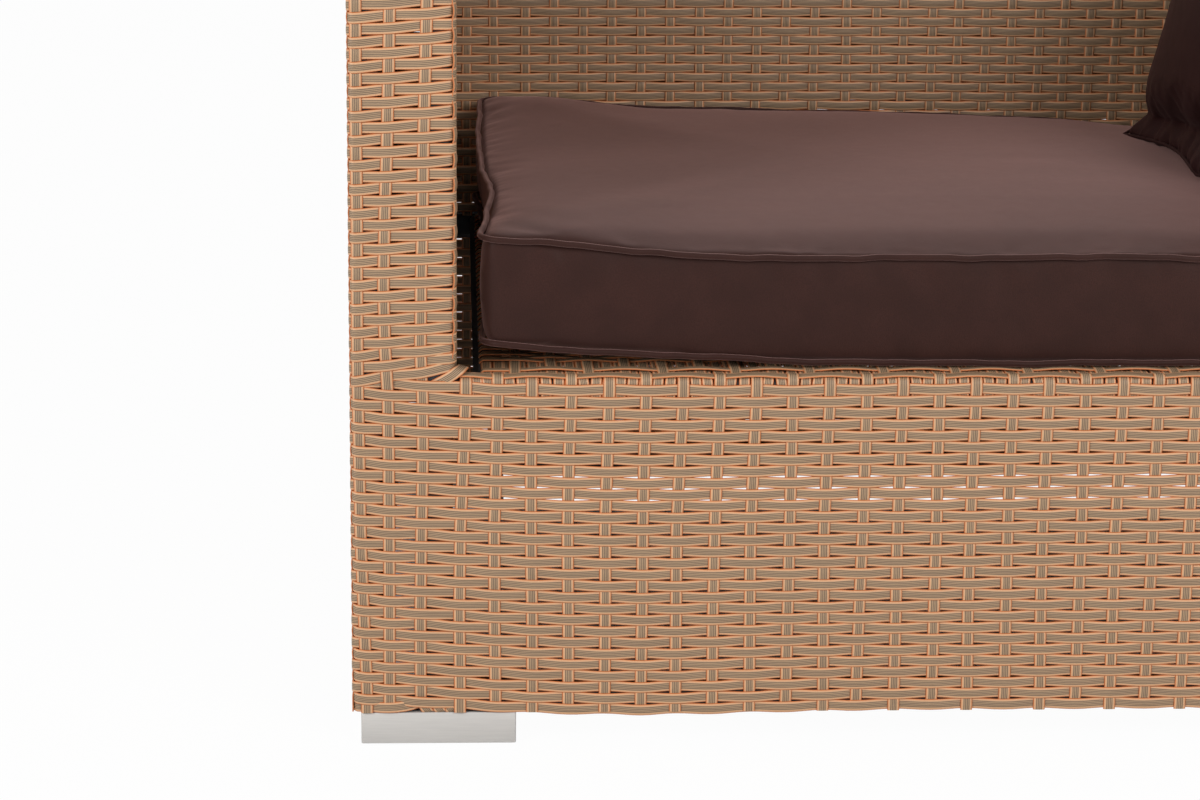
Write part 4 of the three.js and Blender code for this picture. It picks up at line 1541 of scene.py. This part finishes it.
# Rise of the top seam and of its rear part, and bow of its left side, in millimetres, at places
# from the sofa's left end and front
SEAM_PLACES = (107, 134, 161, 188, 215, 243, 270, 292, 424, 554, 700, 900, 993)
SEAM_RISES = (18.5, 17.5, 16.0, 14.0, 10.3, 6.9, 4.3, 2.9, 1.3, 1.7, 3.8, 4.5, 6.0)
REAR_PLACES = (107, 137, 230, 343, 508, 605, 670, 715, 778, 850, 993)
REAR_RISES = (10.0, 10.5, 15.0, 15.0, 13.0, 9.0, 5.0, 2.5, -4.5, -8.0, -8.0)
LEFT_PLACES = (15, 40, 64, 100, 145, 190, 221, 245, 268, 320, 400, 500, 600, 690)
LEFT_SEAM = (
    109, 110, 112, 115.5, 118.5, 121, 121.8, 121, 118.5, 113.5, 110, 111.5, 113.5, 116.5
)
# The dent under the pillow: its middle and its reach, each from side to side and front to rear
DENT = 12 * MM
DENT_PLACE = (0.31, -0.08)
DENT_REACH = (0.15, 0.28)


def curl(x, top_share, y=None):
    """How far the cushion curls up. Its rear edge lifts at the left, and the pillow dents it."""
    share = np.abs(x) / CUSHION_HALF_WIDTH
    base = 20 * MM * share**2 * np.where(x > 0, 0.3, 1.0)
    top = np.interp((x + HALF_WIDTH) / MM, SEAM_PLACES, SEAM_RISES) * MM
    if y is not None:
        rear = np.clip((y - CUSHION_MIDDLE) / CUSHION_HALF_DEPTH, 0, 1.05)
        top = top + np.interp((x + HALF_WIDTH) / MM, REAR_PLACES, REAR_RISES) * MM * rear**2
        gaps = ((x - DENT_PLACE[0]) / DENT_REACH[0], (y - DENT_PLACE[1]) / DENT_REACH[1])
        top = top - DENT * np.exp(-(gaps[0] ** 2 + gaps[1] ** 2))
    return base + (top - base) * top_share


def cushion_ring(inset, level, pull_share, steps=(88, 66, 6), corner=CUSHION_CORNER):
    """The cushion's outline at an inset and a level, as points that run round it once.

    steps count a long side, a short side and a corner."""
    across = CUSHION_HALF_WIDTH - inset
    deep = CUSHION_HALF_DEPTH - inset
    radius = min(corner, across, deep)
    top_share = min(1.0, (level - CUSHION_BASE) / CUSHION_EDGE)
    # Each side's start and end corner, and the way that it is drawn in
    sides = (
        ((-1, -1), (1, -1), (0, 1)),
        ((1, -1), (1, 1), (-1, 0)),
        ((1, 1), (-1, 1), (0, 0)),
        ((-1, 1), (-1, -1), (1, 0)),
    )
    ring = []
    for index, (start, end, normal) in enumerate(sides):
        along_x = start[0] != end[0]
        half = (across if along_x else deep) - radius
        direction = end[0] if along_x else end[1]
        count = steps[index % 2]
        for i in range(count + 1):
            share = 2 * i / count - 1
            along = share * half * direction
            pull = SIDE_PULL * pull_share * (1 - share * share)
            if along_x:
                ring.append((along, start[1] * deep + normal[1] * pull))
            else:
                ring.append((start[0] * across + normal[0] * pull, along))
        centre = (end[0] * (across - radius), end[1] * (deep - radius))
        for i in range(1, steps[2]):
            angle = (index - 1 + i / steps[2]) * math.pi / 2
            x, y = centre
            ring.append((x + radius * math.cos(angle), y + radius * math.sin(angle)))
    ring = np.array(ring) + np.array([0, CUSHION_MIDDLE])
    x, y = ring.T
    rise = level + curl(x, top_share, y)
    left = np.clip(1 - (x + CUSHION_HALF_WIDTH) / 0.2, 0, 1) ** 2 * pull_share * top_share**2
    pull = SIDE_PULL * pull_share * (1 - ((y - CUSHION_MIDDLE) / CUSHION_HALF_DEPTH) ** 2)
    straight = CUSHION_LOW.x + inset + pull
    wanted = np.interp((y + HALF_DEPTH) / MM, LEFT_PLACES, LEFT_SEAM) * MM
    wanted = wanted - HALF_WIDTH + inset - PIPE
    return np.column_stack([x + (wanted - straight) * left, y, rise])


def shell(name, rings, first_pole, last_pole):
    """A closed skin through rings of equal count, ended by a pole at each end."""
    count = len(rings[0])
    places = [first_pole, *[p for ring in rings for p in ring], last_pole]
    last = 1 + len(rings) * count
    polygons = []
    for i in range(count):
        following = (i + 1) % count
        polygons.append((0, 1 + following, 1 + i))
        polygons.append((last, last - count + i, last - count + following))
        for ring in range(len(rings) - 1):
            here = 1 + ring * count
            there = here + count
            polygons.append((here + i, here + following, there + following, there + i))
    mesh = bpy.data.meshes.new(name)
    mesh.from_pydata([tuple(p) for p in places], [], polygons)
    mesh.update()
    return linked(name, mesh)


def modified(piece, kind, **settings):
    """Gives a piece a modifier and turns the result into its plain mesh."""
    modifier = piece.modifiers.new(kind.lower(), kind)
    for name, value in settings.items():
        setattr(modifier, name, value)
    mesh = evaluated(piece)
    piece.modifiers.clear()
    piece.data = mesh
    return piece


def remeshed(piece, voxel):
    return modified(piece, "REMESH", mode="VOXEL", voxel_size=voxel)


def subdivided(piece):
    return modified(piece, "SUBSURF", levels=1, render_levels=1)


def values_of(mesh, field="co"):
    """Each point's place, or its normal."""
    values = np.zeros(len(mesh.vertices) * 3, np.float32)
    mesh.vertices.foreach_get(field, values)
    return values.reshape(-1, 3).astype(float)


def put_places(mesh, places):
    mesh.vertices.foreach_set("co", places.astype(np.float32).ravel())
    mesh.update()


def weigh(piece, name, shares):
    """Adds a vertex group with each point's share in it."""
    group = piece.vertex_groups.new(name=name)
    shares = np.round(shares, 1)
    for level in np.unique(shares):
        if level > 0:
            group.add(np.nonzero(shares == level)[0].tolist(), float(level), "REPLACE")


CLOTH_STEPS = 20
CLOTH_SETTINGS = {
    "quality": 6,
    "mass": 0.3,
    "tension_stiffness": 12,
    "compression_stiffness": 8,
    "shear_stiffness": 4,
    "bending_stiffness": 0.4,
    "air_damping": 4,
    "use_pressure": True,
    "vertex_group_mass": "held",
}


def inflate(piece, pressure, cap, held, slack):
    """Blows a sewn shell up under cloth simulation, each point by no more than the cap.

    held gives, for each point, how firmly it stays put."""
    before = values_of(piece.data)
    weigh(piece, "held", np.clip(held(before), 0, 1))
    cloth = piece.modifiers.new("cloth", "CLOTH")
    for name, value in CLOTH_SETTINGS.items():
        setattr(cloth.settings, name, value)
    cloth.settings.uniform_pressure_force = pressure
    cloth.settings.shrink_min = -slack
    cloth.settings.effector_weights.gravity = 0
    cloth.collision_settings.use_collision = False
    cloth.point_cache.frame_start = 1
    cloth.point_cache.frame_end = CLOTH_STEPS
    scene = bpy.context.scene
    for step in range(1, CLOTH_STEPS + 1):
        scene.frame_set(step)
    result = piece.evaluated_get(bpy.context.evaluated_depsgraph_get())
    after = values_of(result.data)
    piece.modifiers.clear()
    scene.frame_set(1)
    move = after - before
    reach = np.linalg.norm(move, axis=1, keepdims=True)
    move *= np.minimum(1, cap / np.maximum(reach, 1e-9))
    put_places(piece.data, before + move)


def ripple(places, scale, seed):
    """Smooth unevenness in space, about -1 to 1."""
    total = np.zeros(len(places))
    random = np.random.default_rng(seed)
    for _ in range(6):
        way = random.normal(size=3)
        way /= np.linalg.norm(way)
        pace = TURN * random.uniform(0.7, 1.4)
        total += np.sin(places @ way / scale * pace + random.uniform(0, TURN))
    return total / 3.2


def nearest(places, line):
    """How far each place is from the nearest point of a line."""
    tree = KDTree(len(line))
    for i, point in enumerate(line):
        tree.insert(point, i)
    tree.balance()
    return np.array([tree.find(p)[2] for p in places])


def bell(distance, middle, reach):
    """1 at the middle distance, falling away on both sides of it."""
    return np.exp(-(((distance - middle) / reach) ** 2))


def fabric_material(name, colour, weave_scale, sheen, gloss):
    """Satin: fine threads, cloudy patches and a warm sheen."""

    def fine(tree):
        return noise(tree, weave_scale)

    def cloudy(tree):
        return noise(tree, 22.0, 3.0)

    def base(tree):
        tone = mix(tree, cloudy(tree).above(0.3, 0.7), shade(colour, 0.86), shade(colour, 1.12))
        return mix(tree, fine(tree).above(0.35, 0.7) * 0.5, tone, shade(colour, 0.66))

    def roughness(tree):
        return 0.48 + noise(tree, 90.0) * 0.1

    def normal(tree):
        return bump(tree, fine(tree) + cloudy(tree) * 0.8, 0.35, 0.35 * MM)

    return surface(
        name,
        base,
        roughness,
        normal,
        Sheen_Weight=sheen,
        Sheen_Roughness=0.45,
        Sheen_Tint=(1.0, 0.6, 0.55, 1.0),
        Specular_IOR_Level=gloss,
    )


# How often the piping wavers on its way round, and how far each time, in millimetres
WAVERS = ((9, 0.5), (17, 0.5), (31, 0.45), (64, 0.3), (98, 0.18))


def piping_path(level):
    """Where a bead of piping runs, with the waver of a hand-fed seam."""
    ring = cushion_ring(PIPE, level, 1.0, (110, 84, 8), CUSHION_CORNER + 7 * MM)
    lengths = lengths_along(np.vstack([ring, ring[:1]]))
    random = np.random.default_rng(int(level * 1000))
    out = np.cross(np.roll(ring, -1, 0) - np.roll(ring, 1, 0), UP)
    out /= np.linalg.norm(out, axis=1, keepdims=True)
    for waves, size in WAVERS:
        turn = lengths[:-1] / lengths[-1] * 6.2832 * waves
        ring = ring + out * (np.sin(turn + random.uniform(0, TURN)) * size * MM)[:, None]
        ring[:, 2] += np.sin(turn + random.uniform(0, TURN)) * size * 0.8 * MM
    return ring


def from_seams(places):
    """How far each place is from the nearer seam."""
    return np.min([nearest(places, piping_path(level)) for level in SEAMS], axis=0)


def on_base(places, margin):
    """Which places lie on the cushion's base."""
    return places[:, 2] < CUSHION_BASE + curl(places[:, 0], 0) + margin


def bead(name, line, radius, material, bevel_resolution):
    """A closed round bead along a line."""
    curve = bpy.data.curves.new(name, "CURVE")
    curve.dimensions = "3D"
    spline = curve.splines.new("POLY")
    spline.points.add(len(line) - 1)
    spline.points.foreach_set("co", np.column_stack([line, np.ones(len(line))]).ravel())
    spline.use_cyclic_u = True
    curve.bevel_depth = radius
    curve.bevel_resolution = bevel_resolution
    holder = linked(name + "_line", curve)
    mesh = evaluated(holder)
    bpy.data.objects.remove(holder)
    smooth_paint(mesh, material)
    return linked(name, mesh)


# The wall between the seams, and the top, as shares of the way up and of the way in
WALL_SHARES = (0.12, 0.3, 0.5, 0.7, 0.88)
CROWN_SHARES = (0.03, 0.07, 0.13, 0.22, 0.34, 0.5, 0.68, 0.85, 0.95)


class SOFA_OT_seat_cushion(bpy.types.Operator):
    """Sews the seat cushion, fills it and runs piping round both of its seams"""

    bl_idname = "sofa.seat_cushion"
    bl_label = "Seat cushion"

    def execute(self, context):
        soft = context.scene.sofa_soft
        cloth = fabric_material("cushion_satin", soft.fabric, 900.0, 0.44, 0.12)
        piece = remeshed(self.sewn(), 8 * MM)
        inflate(piece, 2.0, 3 * MM, self.held, 0.004)
        shares = np.clip((from_seams(values_of(piece.data)) - 12 * MM) / (30 * MM), 0, 1)
        weigh(piece, "loose", shares)
        modified(piece, "SMOOTH", factor=0.5, iterations=14, vertex_group="loose")
        subdivided(piece)
        self.pucker(piece.data, soft.puckers)
        smooth_paint(piece.data, cloth)
        dress(piece, "cushion", ["seat_cushion"])
        for name, level in zip(("low_piping", "high_piping"), SEAMS):
            piping = bead(f"cushion_{name}", piping_path(level), soft.piping, cloth, 3)
            dress(piping, "cushion")
        return {"FINISHED"}

    def sewn(self):
        """The cushion's skin, from the middle of its base to the middle of its top."""
        low, high = SEAMS
        base = CUSHION_BASE + 1 * MM
        rings = [cushion_ring(inset, base, 0) for inset in (0.24, 0.16, 0.08)]
        rings.append(cushion_ring(6 * MM, CUSHION_BASE + 1.5 * MM, 1))
        rings.append(cushion_ring(5 * MM, low, 1))
        for share in WALL_SHARES:
            inset = 6.5 * MM - 4 * MM * math.sin(share * math.pi)
            rings.append(cushion_ring(inset, low + (high - low) * share, 1))
        rings.append(cushion_ring(5 * MM, high, 1))
        for share in CROWN_SHARES:
            rise = math.sin(share**0.85 * math.pi / 2)
            level = high + 2 * MM + (CUSHION_CROWN - 2 * MM) * rise
            rings.append(cushion_ring(share * CUSHION_HALF_DEPTH, level, 1 - share))
        crown = high + CUSHION_CROWN + float(curl(0.0, 1.0, CUSHION_MIDDLE))
        poles = ((0, CUSHION_MIDDLE, base), (0, CUSHION_MIDDLE, crown))
        return shell("seat_cushion_cover", rings, *poles)

    @staticmethod
    def held(places):
        """The base and the seams hold firm."""
        seams = np.clip(1.2 - from_seams(places) / (9 * MM), 0, 1)
        return np.where(on_base(places, 4 * MM), 1.0, seams)

    def pucker(self, mesh, size):
        """Folds beside the piping, and broad unevenness away from it."""
        places = values_of(mesh)
        near = from_seams(places)
        crosswise = places * np.array([1.0, 1.0, 0.12])
        folds = ripple(crosswise, 34 * MM, 3) * 0.6 + ripple(crosswise, 17 * MM, 4) * 0.4
        height = folds * bell(near, 9 * MM, 8 * MM) * size
        broad = ripple(places, 0.22, 5) * 0.5 * MM * np.clip(near / (30 * MM), 0, 1)
        broad = np.where(on_base(places, 6 * MM), 0, broad)
        places += values_of(mesh, "normal") * (height + broad)[:, None]
        places[:, 2] = np.maximum(places[:, 2], CUSHION_BASE + 0.05 * MM)
        put_places(mesh, places)


# Pillow

PILLOW_LEAN = math.radians(22)
PILLOW_TURN = math.radians(8)
PILLOW_HALF = 450 * MM / 2
PILLOW_DEPTH = 180 * MM / 2 - 4 * MM
PILLOW_WAIST = 20 * MM
PILLOW_SHARES = (0.15, 0.3, 0.45, 0.58, 0.7, 0.8, 0.88, 0.94, 0.98)
# How far the pillow's foot slides out and sinks, and the height where that starts, in
# millimetres, at places from front to rear
FOOT_PLACES = (-0.303, -0.18, -0.1, 0.061, 0.133)
FOOT_SLIDES = (34, 46, 48, 37, 31)
FOOT_SINKS = (4, 14, 19, 10.6, 4.8)
FOOT_STARTS = (466, 480, 484, 470, 464)


def pillow_frame():
    """Turns the pillow's own frame, x through it and z up its face, to where its solid stands."""
    turn = Matrix.Rotation(PILLOW_TURN, 3, "Z") @ Matrix.Rotation(PILLOW_LEAN, 3, "Y")
    own = values_of(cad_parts["pillow"].data) @ np.array(turn)
    return np.array(turn), (own.min(0) + own.max(0)) / 2


def pillow_rim(steps, size):
    """The pillow's outline, drawn in between its four corners, as y and z in its own frame."""
    half = PILLOW_HALF * size
    rim = []
    for side in range(4):
        cosine, sine = math.cos(side * math.pi / 2), math.sin(side * math.pi / 2)
        for i in range(steps):
            along = 2 * i / steps - 1
            below = PILLOW_WAIST / half * (1 - along * along) - 1
            turned = (along * cosine - below * sine, along * sine + below * cosine)
            rim.append((turned[0] * half, turned[1] * half))
    return np.array(rim)


def pillow_ring(rim, share, sign):
    """A ring of the pillow's skin at a share of the way out, on one of its two faces."""
    flat = rim * share
    across, upright = 1 - np.abs(flat.T / PILLOW_HALF * 0.95) ** 2.3
    depth = np.maximum(2 * MM, PILLOW_DEPTH * (across * upright) ** 0.62)
    return np.column_stack([sign * depth, flat])


class SOFA_OT_pillow(bpy.types.Operator):
    """Sews the loose pillow, fills it and stands it against the right arm"""

    bl_idname = "sofa.pillow"
    bl_label = "Pillow"

    def execute(self, context):
        soft = context.scene.sofa_soft
        cloth = fabric_material("pillow_satin", soft.pillow, 1000.0, 0.04, 0.06)
        turn, centre = pillow_frame()
        rim = pillow_rim(30, 0.99)
        rings = [pillow_ring(rim, share, -1) for share in PILLOW_SHARES]
        rings += [np.column_stack([np.full(len(rim), x), rim]) for x in (-1.5 * MM, 1.5 * MM)]
        rings += [pillow_ring(rim, share, 1) for share in reversed(PILLOW_SHARES)]
        skin = shell("pillow_cover", rings, (-PILLOW_DEPTH, 0, 0), (PILLOW_DEPTH, 0, 0))
        piece = remeshed(skin, 6 * MM)
        seam = np.column_stack([np.zeros(len(rim)), rim])

        def held(places):
            return np.clip(1.1 - nearest(places, seam) / (8 * MM), 0, 1) * 0.9

        inflate(piece, 3.0, 8 * MM, held, 0.012)
        subdivided(piece)
        places = self.folded(piece.data, seam)
        put_places(piece.data, self.slumped((places + centre) @ turn.T))
        smooth_paint(piece.data, cloth)
        dress(piece, "pillow_body", ["pillow"])
        line = self.slumped((seam + centre) @ turn.T)
        dress(bead("pillow_seam", line, 1.6 * MM, cloth, 2), "pillow_body")
        return {"FINISHED"}

    def folded(self, mesh, seam):
        """The places with fine folds beside the seam and deeper ones towards the corners."""
        places = values_of(mesh)
        near = nearest(places, seam)
        corner = np.abs(places[:, 1]) + np.abs(places[:, 2])
        toward = np.clip((corner - 0.26) / 0.14, 0, 1)
        fine = ripple(places * np.array([0.15, 1, 1]), 30 * MM, 13)
        deep = ripple(places * np.array([0.4, 1, 1]), 70 * MM, 14)
        height = fine * bell(near, 12 * MM, 13 * MM) * 0.4 * MM + deep * toward * 1.2 * MM
        height *= np.clip(near / (6 * MM), 0, 1)
        return places + values_of(mesh, "normal") * height[:, None]

    def slumped(self, places):
        """The pillow bulges low down, and its foot slides out and presses into the cushion."""
        places = places.copy()
        slide, sink, start = (
            np.interp(places[:, 1], FOOT_PLACES, row) * MM
            for row in (FOOT_SLIDES, FOOT_SINKS, FOOT_STARTS)
        )
        foot = np.clip((start - places[:, 2]) / (22 * MM), 0, 1)
        foot = foot * foot * (3 - 2 * foot)
        places[:, 0] -= 7 * MM * bell(places[:, 2], 0.49, 0.035) + slide * foot
        places[:, 2] -= sink * foot
        return places


# Zip


def teeth_tree():
    """The node tree that sets a zip's teeth along a line."""
    inputs = {"Pitch": "Float", "Tooth Size": "Vector", "Material": "Material"}
    tree, given = group_tree("zip_teeth", inputs)
    line = node(tree, "GeometryNodeMeshToCurve", inputs={0: given["Geometry"]})
    inputs = {0: line, "Length": given["Pitch"]}
    marks = node(tree, "GeometryNodeCurveToPoints", {"mode": "LENGTH"}, inputs)
    inputs = {"Radius": 1.0, "Subdivisions": 1}
    tooth = node(tree, "GeometryNodeMeshIcoSphere", inputs=inputs)
    shaped = node(tree, "GeometryNodeTransform", inputs={0: tooth, "Scale": given["Tooth Size"]})
    inputs = {"Points": marks, "Instance": shaped}
    rows = node(tree, "GeometryNodeInstanceOnPoints", inputs=inputs)
    return end_tree(tree, rows, given["Material"])


class SOFA_OT_zip(bpy.types.Operator):
    """Sets the teeth along the zip at the rear of the seat cushion"""

    bl_idname = "sofa.zip"
    bl_label = "Zip"

    def execute(self, context):
        def normal(tree):
            return bump(tree, noise(tree, 1200.0), 0.4, 0.2 * MM)

        dark = (linear(46, 32, 30), linear(66, 48, 44))
        tape = mottled("zip_tape_weave", dark, 700.0, 0.75, 0.1, 300.0, normal)
        pale = (linear(60, 44, 40), linear(84, 64, 58))
        teeth = mottled("zip_teeth", pale, 400.0, 0.35, 0.1, 500.0)
        paint(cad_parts["zip_tape"].data, tape)
        low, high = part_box("zip_tape")
        middle = (low.z + high.z) / 2
        face = high.y + 0.1 * MM
        mesh = bpy.data.meshes.new("zip_line")
        ends = [(low.x + 2 * MM, face, middle), (high.x - 2 * MM, face, middle)]
        mesh.from_pydata(ends, [(0, 1)], [])
        values = {
            "Pitch": 1.9 * MM,
            "Tooth Size": (0.75 * MM, 0.2 * MM, 2.6 * MM),
            "Material": teeth,
        }
        dress(grown("zip_teeth", mesh, teeth_tree(), values), "cushion")
        return {"FINISHED"}


# Studio

CAMERA_PLACE = (87.65 * MM - HALF_WIDTH, -2643 * MM - HALF_DEPTH, 997 * MM)
CAMERA_PITCH = math.radians(14.64)
CAMERA_YAW = math.radians(2.64)
CAMERA_ROLL = math.radians(0.605)
SENSOR = 36
CAMERA_LENS = 3271 / 1200 * SENSOR
FLOOR_REACH = 12.0
LAMP_SIZE = 1.2


def seen_directly(tree):
    """1 where the camera sees a surface, also in a reflection or through glass."""
    outputs = tree.nodes.new("ShaderNodeLightPath").outputs
    kinds = ("Camera", "Glossy", "Transmission")
    camera, glossy, clear = (Link(tree, outputs[f"Is {kind} Ray"]) for kind in kinds)
    return (camera + glossy + clear).math("MINIMUM", 1.0)


class SOFA_OT_studio(bpy.types.Operator):
    """Sets the floor, the lamps and the camera"""

    bl_idname = "sofa.studio"
    bl_label = "Studio"

    def execute(self, context):
        scene = context.scene
        stage = scene.sofa_stage
        scene.view_settings.view_transform = "Standard"
        self.world(scene)
        self.floor(stage)
        self.lamp("key_lamp", (-2.3, -1.9, 1.3), (0, -0.2, 0.4), stage.key)
        self.lamp("fill_lamp", (1.2, -2.3, 1.7), (0, 0, 0.5), stage.fill)
        self.camera(scene)
        return {"FINISHED"}

    def world(self, scene):
        world = bpy.data.worlds.new("studio")
        world.use_nodes = True
        tree = world.node_tree
        sockets = tree.nodes["Background"].inputs
        feed(tree, 0.3 + seen_directly(tree) * 0.7, sockets["Strength"])
        feed(tree, WHITE, sockets["Color"])
        scene.world = world

    def floor(self, stage):
        """A pale floor that the camera sees as white, apart from the shade under the sofa."""
        mesh = bpy.data.meshes.new("floor")
        corners = ((-1, -1), (1, -1), (1, 1), (-1, 1))
        places = [(x * FLOOR_REACH, y * FLOOR_REACH, 0) for x, y in corners]
        mesh.from_pydata(places, [], [(0, 1, 2, 3)])
        floor = linked("floor", mesh)

        def base(tree):
            return mix(tree, noise(tree, 1.2), shade(stage.floor, 0.985), stage.floor)

        material = surface("pale_floor", base, lambda tree: 0.9)
        tree = material.node_tree
        white = node(tree, "ShaderNodeEmission", inputs={"Color": WHITE, "Strength": 1.0})
        lit = Link(tree, tree.nodes["Principled BSDF"].outputs[0])
        side, deep, _ = parts_of(tree, place_of(tree))
        front = deep.above(-HALF_DEPTH + 0.10, -HALF_DEPTH + 0.14)
        rear = deep.above(HALF_DEPTH - 0.075, HALF_DEPTH - 0.045)
        ends = abs(side).above(HALF_WIDTH - 0.03, HALF_WIDTH)
        under = front * (1.0 - rear) * (1.0 - ends)
        share = seen_directly(tree) * (1.0 - under) * stage.backdrop
        both = node(tree, "ShaderNodeMixShader", inputs={0: share, 1: lit, 2: white})
        feed(tree, both, tree.nodes["Material Output"].inputs["Surface"])
        mesh.materials.append(material)

    def lamp(self, name, place, target, power):
        light = bpy.data.lights.new(name, "AREA")
        light.shape = "SQUARE"
        light.size = LAMP_SIZE
        light.energy = power
        lamp = linked(name, light)
        lamp.location = place
        lamp.rotation_euler = (Vector(target) - Vector(place)).to_track_quat("-Z", "Y").to_euler()

    def camera(self, scene):
        lens = bpy.data.cameras.new("camera")
        lens.lens = CAMERA_LENS
        lens.sensor_width = SENSOR
        lens.clip_start = 0.05
        lens.clip_end = 60
        ahead = Vector((
            math.sin(CAMERA_YAW) * math.cos(CAMERA_PITCH),
            math.cos(CAMERA_YAW) * math.cos(CAMERA_PITCH),
            -math.sin(CAMERA_PITCH),
        ))
        right = Vector((math.cos(CAMERA_YAW), -math.sin(CAMERA_YAW), 0))
        up = right.cross(ahead)
        rolled_right = right * math.cos(CAMERA_ROLL) + up * math.sin(CAMERA_ROLL)
        rolled_up = up * math.cos(CAMERA_ROLL) - right * math.sin(CAMERA_ROLL)
        turned = Matrix((rolled_right, rolled_up, -ahead)).transposed().to_4x4()
        scene.camera = linked("camera", lens)
        scene.camera.matrix_world = Matrix.Translation(CAMERA_PLACE) @ turned


OPERATORS = (
    SOFA_OT_studio,
    SOFA_OT_frame,
    SOFA_OT_base_rows,
    SOFA_OT_upper_rows,
    SOFA_OT_back_rows,
    SOFA_OT_top_rows,
    SOFA_OT_deck_rows,
    SOFA_OT_front_stakes,
    SOFA_OT_side_stakes,
    SOFA_OT_rear_stakes,
    SOFA_OT_seat_cushion,
    SOFA_OT_pillow,
    SOFA_OT_zip,
)


class SOFA_PT_panel(bpy.types.Panel):
    """The garden sofa's steps and sizes"""

    bl_idname = "SOFA_PT_panel"
    bl_label = "Garden Sofa"
    bl_space_type = "VIEW_3D"
    bl_region_type = "UI"
    bl_category = "Garden Sofa"

    def draw(self, context):
        for name, settings in SETTINGS.items():
            box = self.layout.box()
            box.label(text=settings.__doc__)
            for field in settings.__annotations__:
                box.prop(getattr(context.scene, name), field)
        for operator in OPERATORS:
            self.layout.operator(operator.bl_idname)


CLASSES = (*SETTINGS.values(), *OPERATORS, SOFA_PT_panel)


def register():
    for kind in CLASSES:
        bpy.utils.register_class(kind)
    for name, settings in SETTINGS.items():
        setattr(bpy.types.Scene, name, PointerProperty(type=settings))


def unregister():
    for name in SETTINGS:
        delattr(bpy.types.Scene, name)
    for kind in reversed(CLASSES):
        bpy.utils.unregister_class(kind)


def main():
    register()
    for operator in OPERATORS:
        group, name = operator.bl_idname.split(".")
        getattr(getattr(bpy.ops, group), name)()


if __name__ == "__main__":
    main()
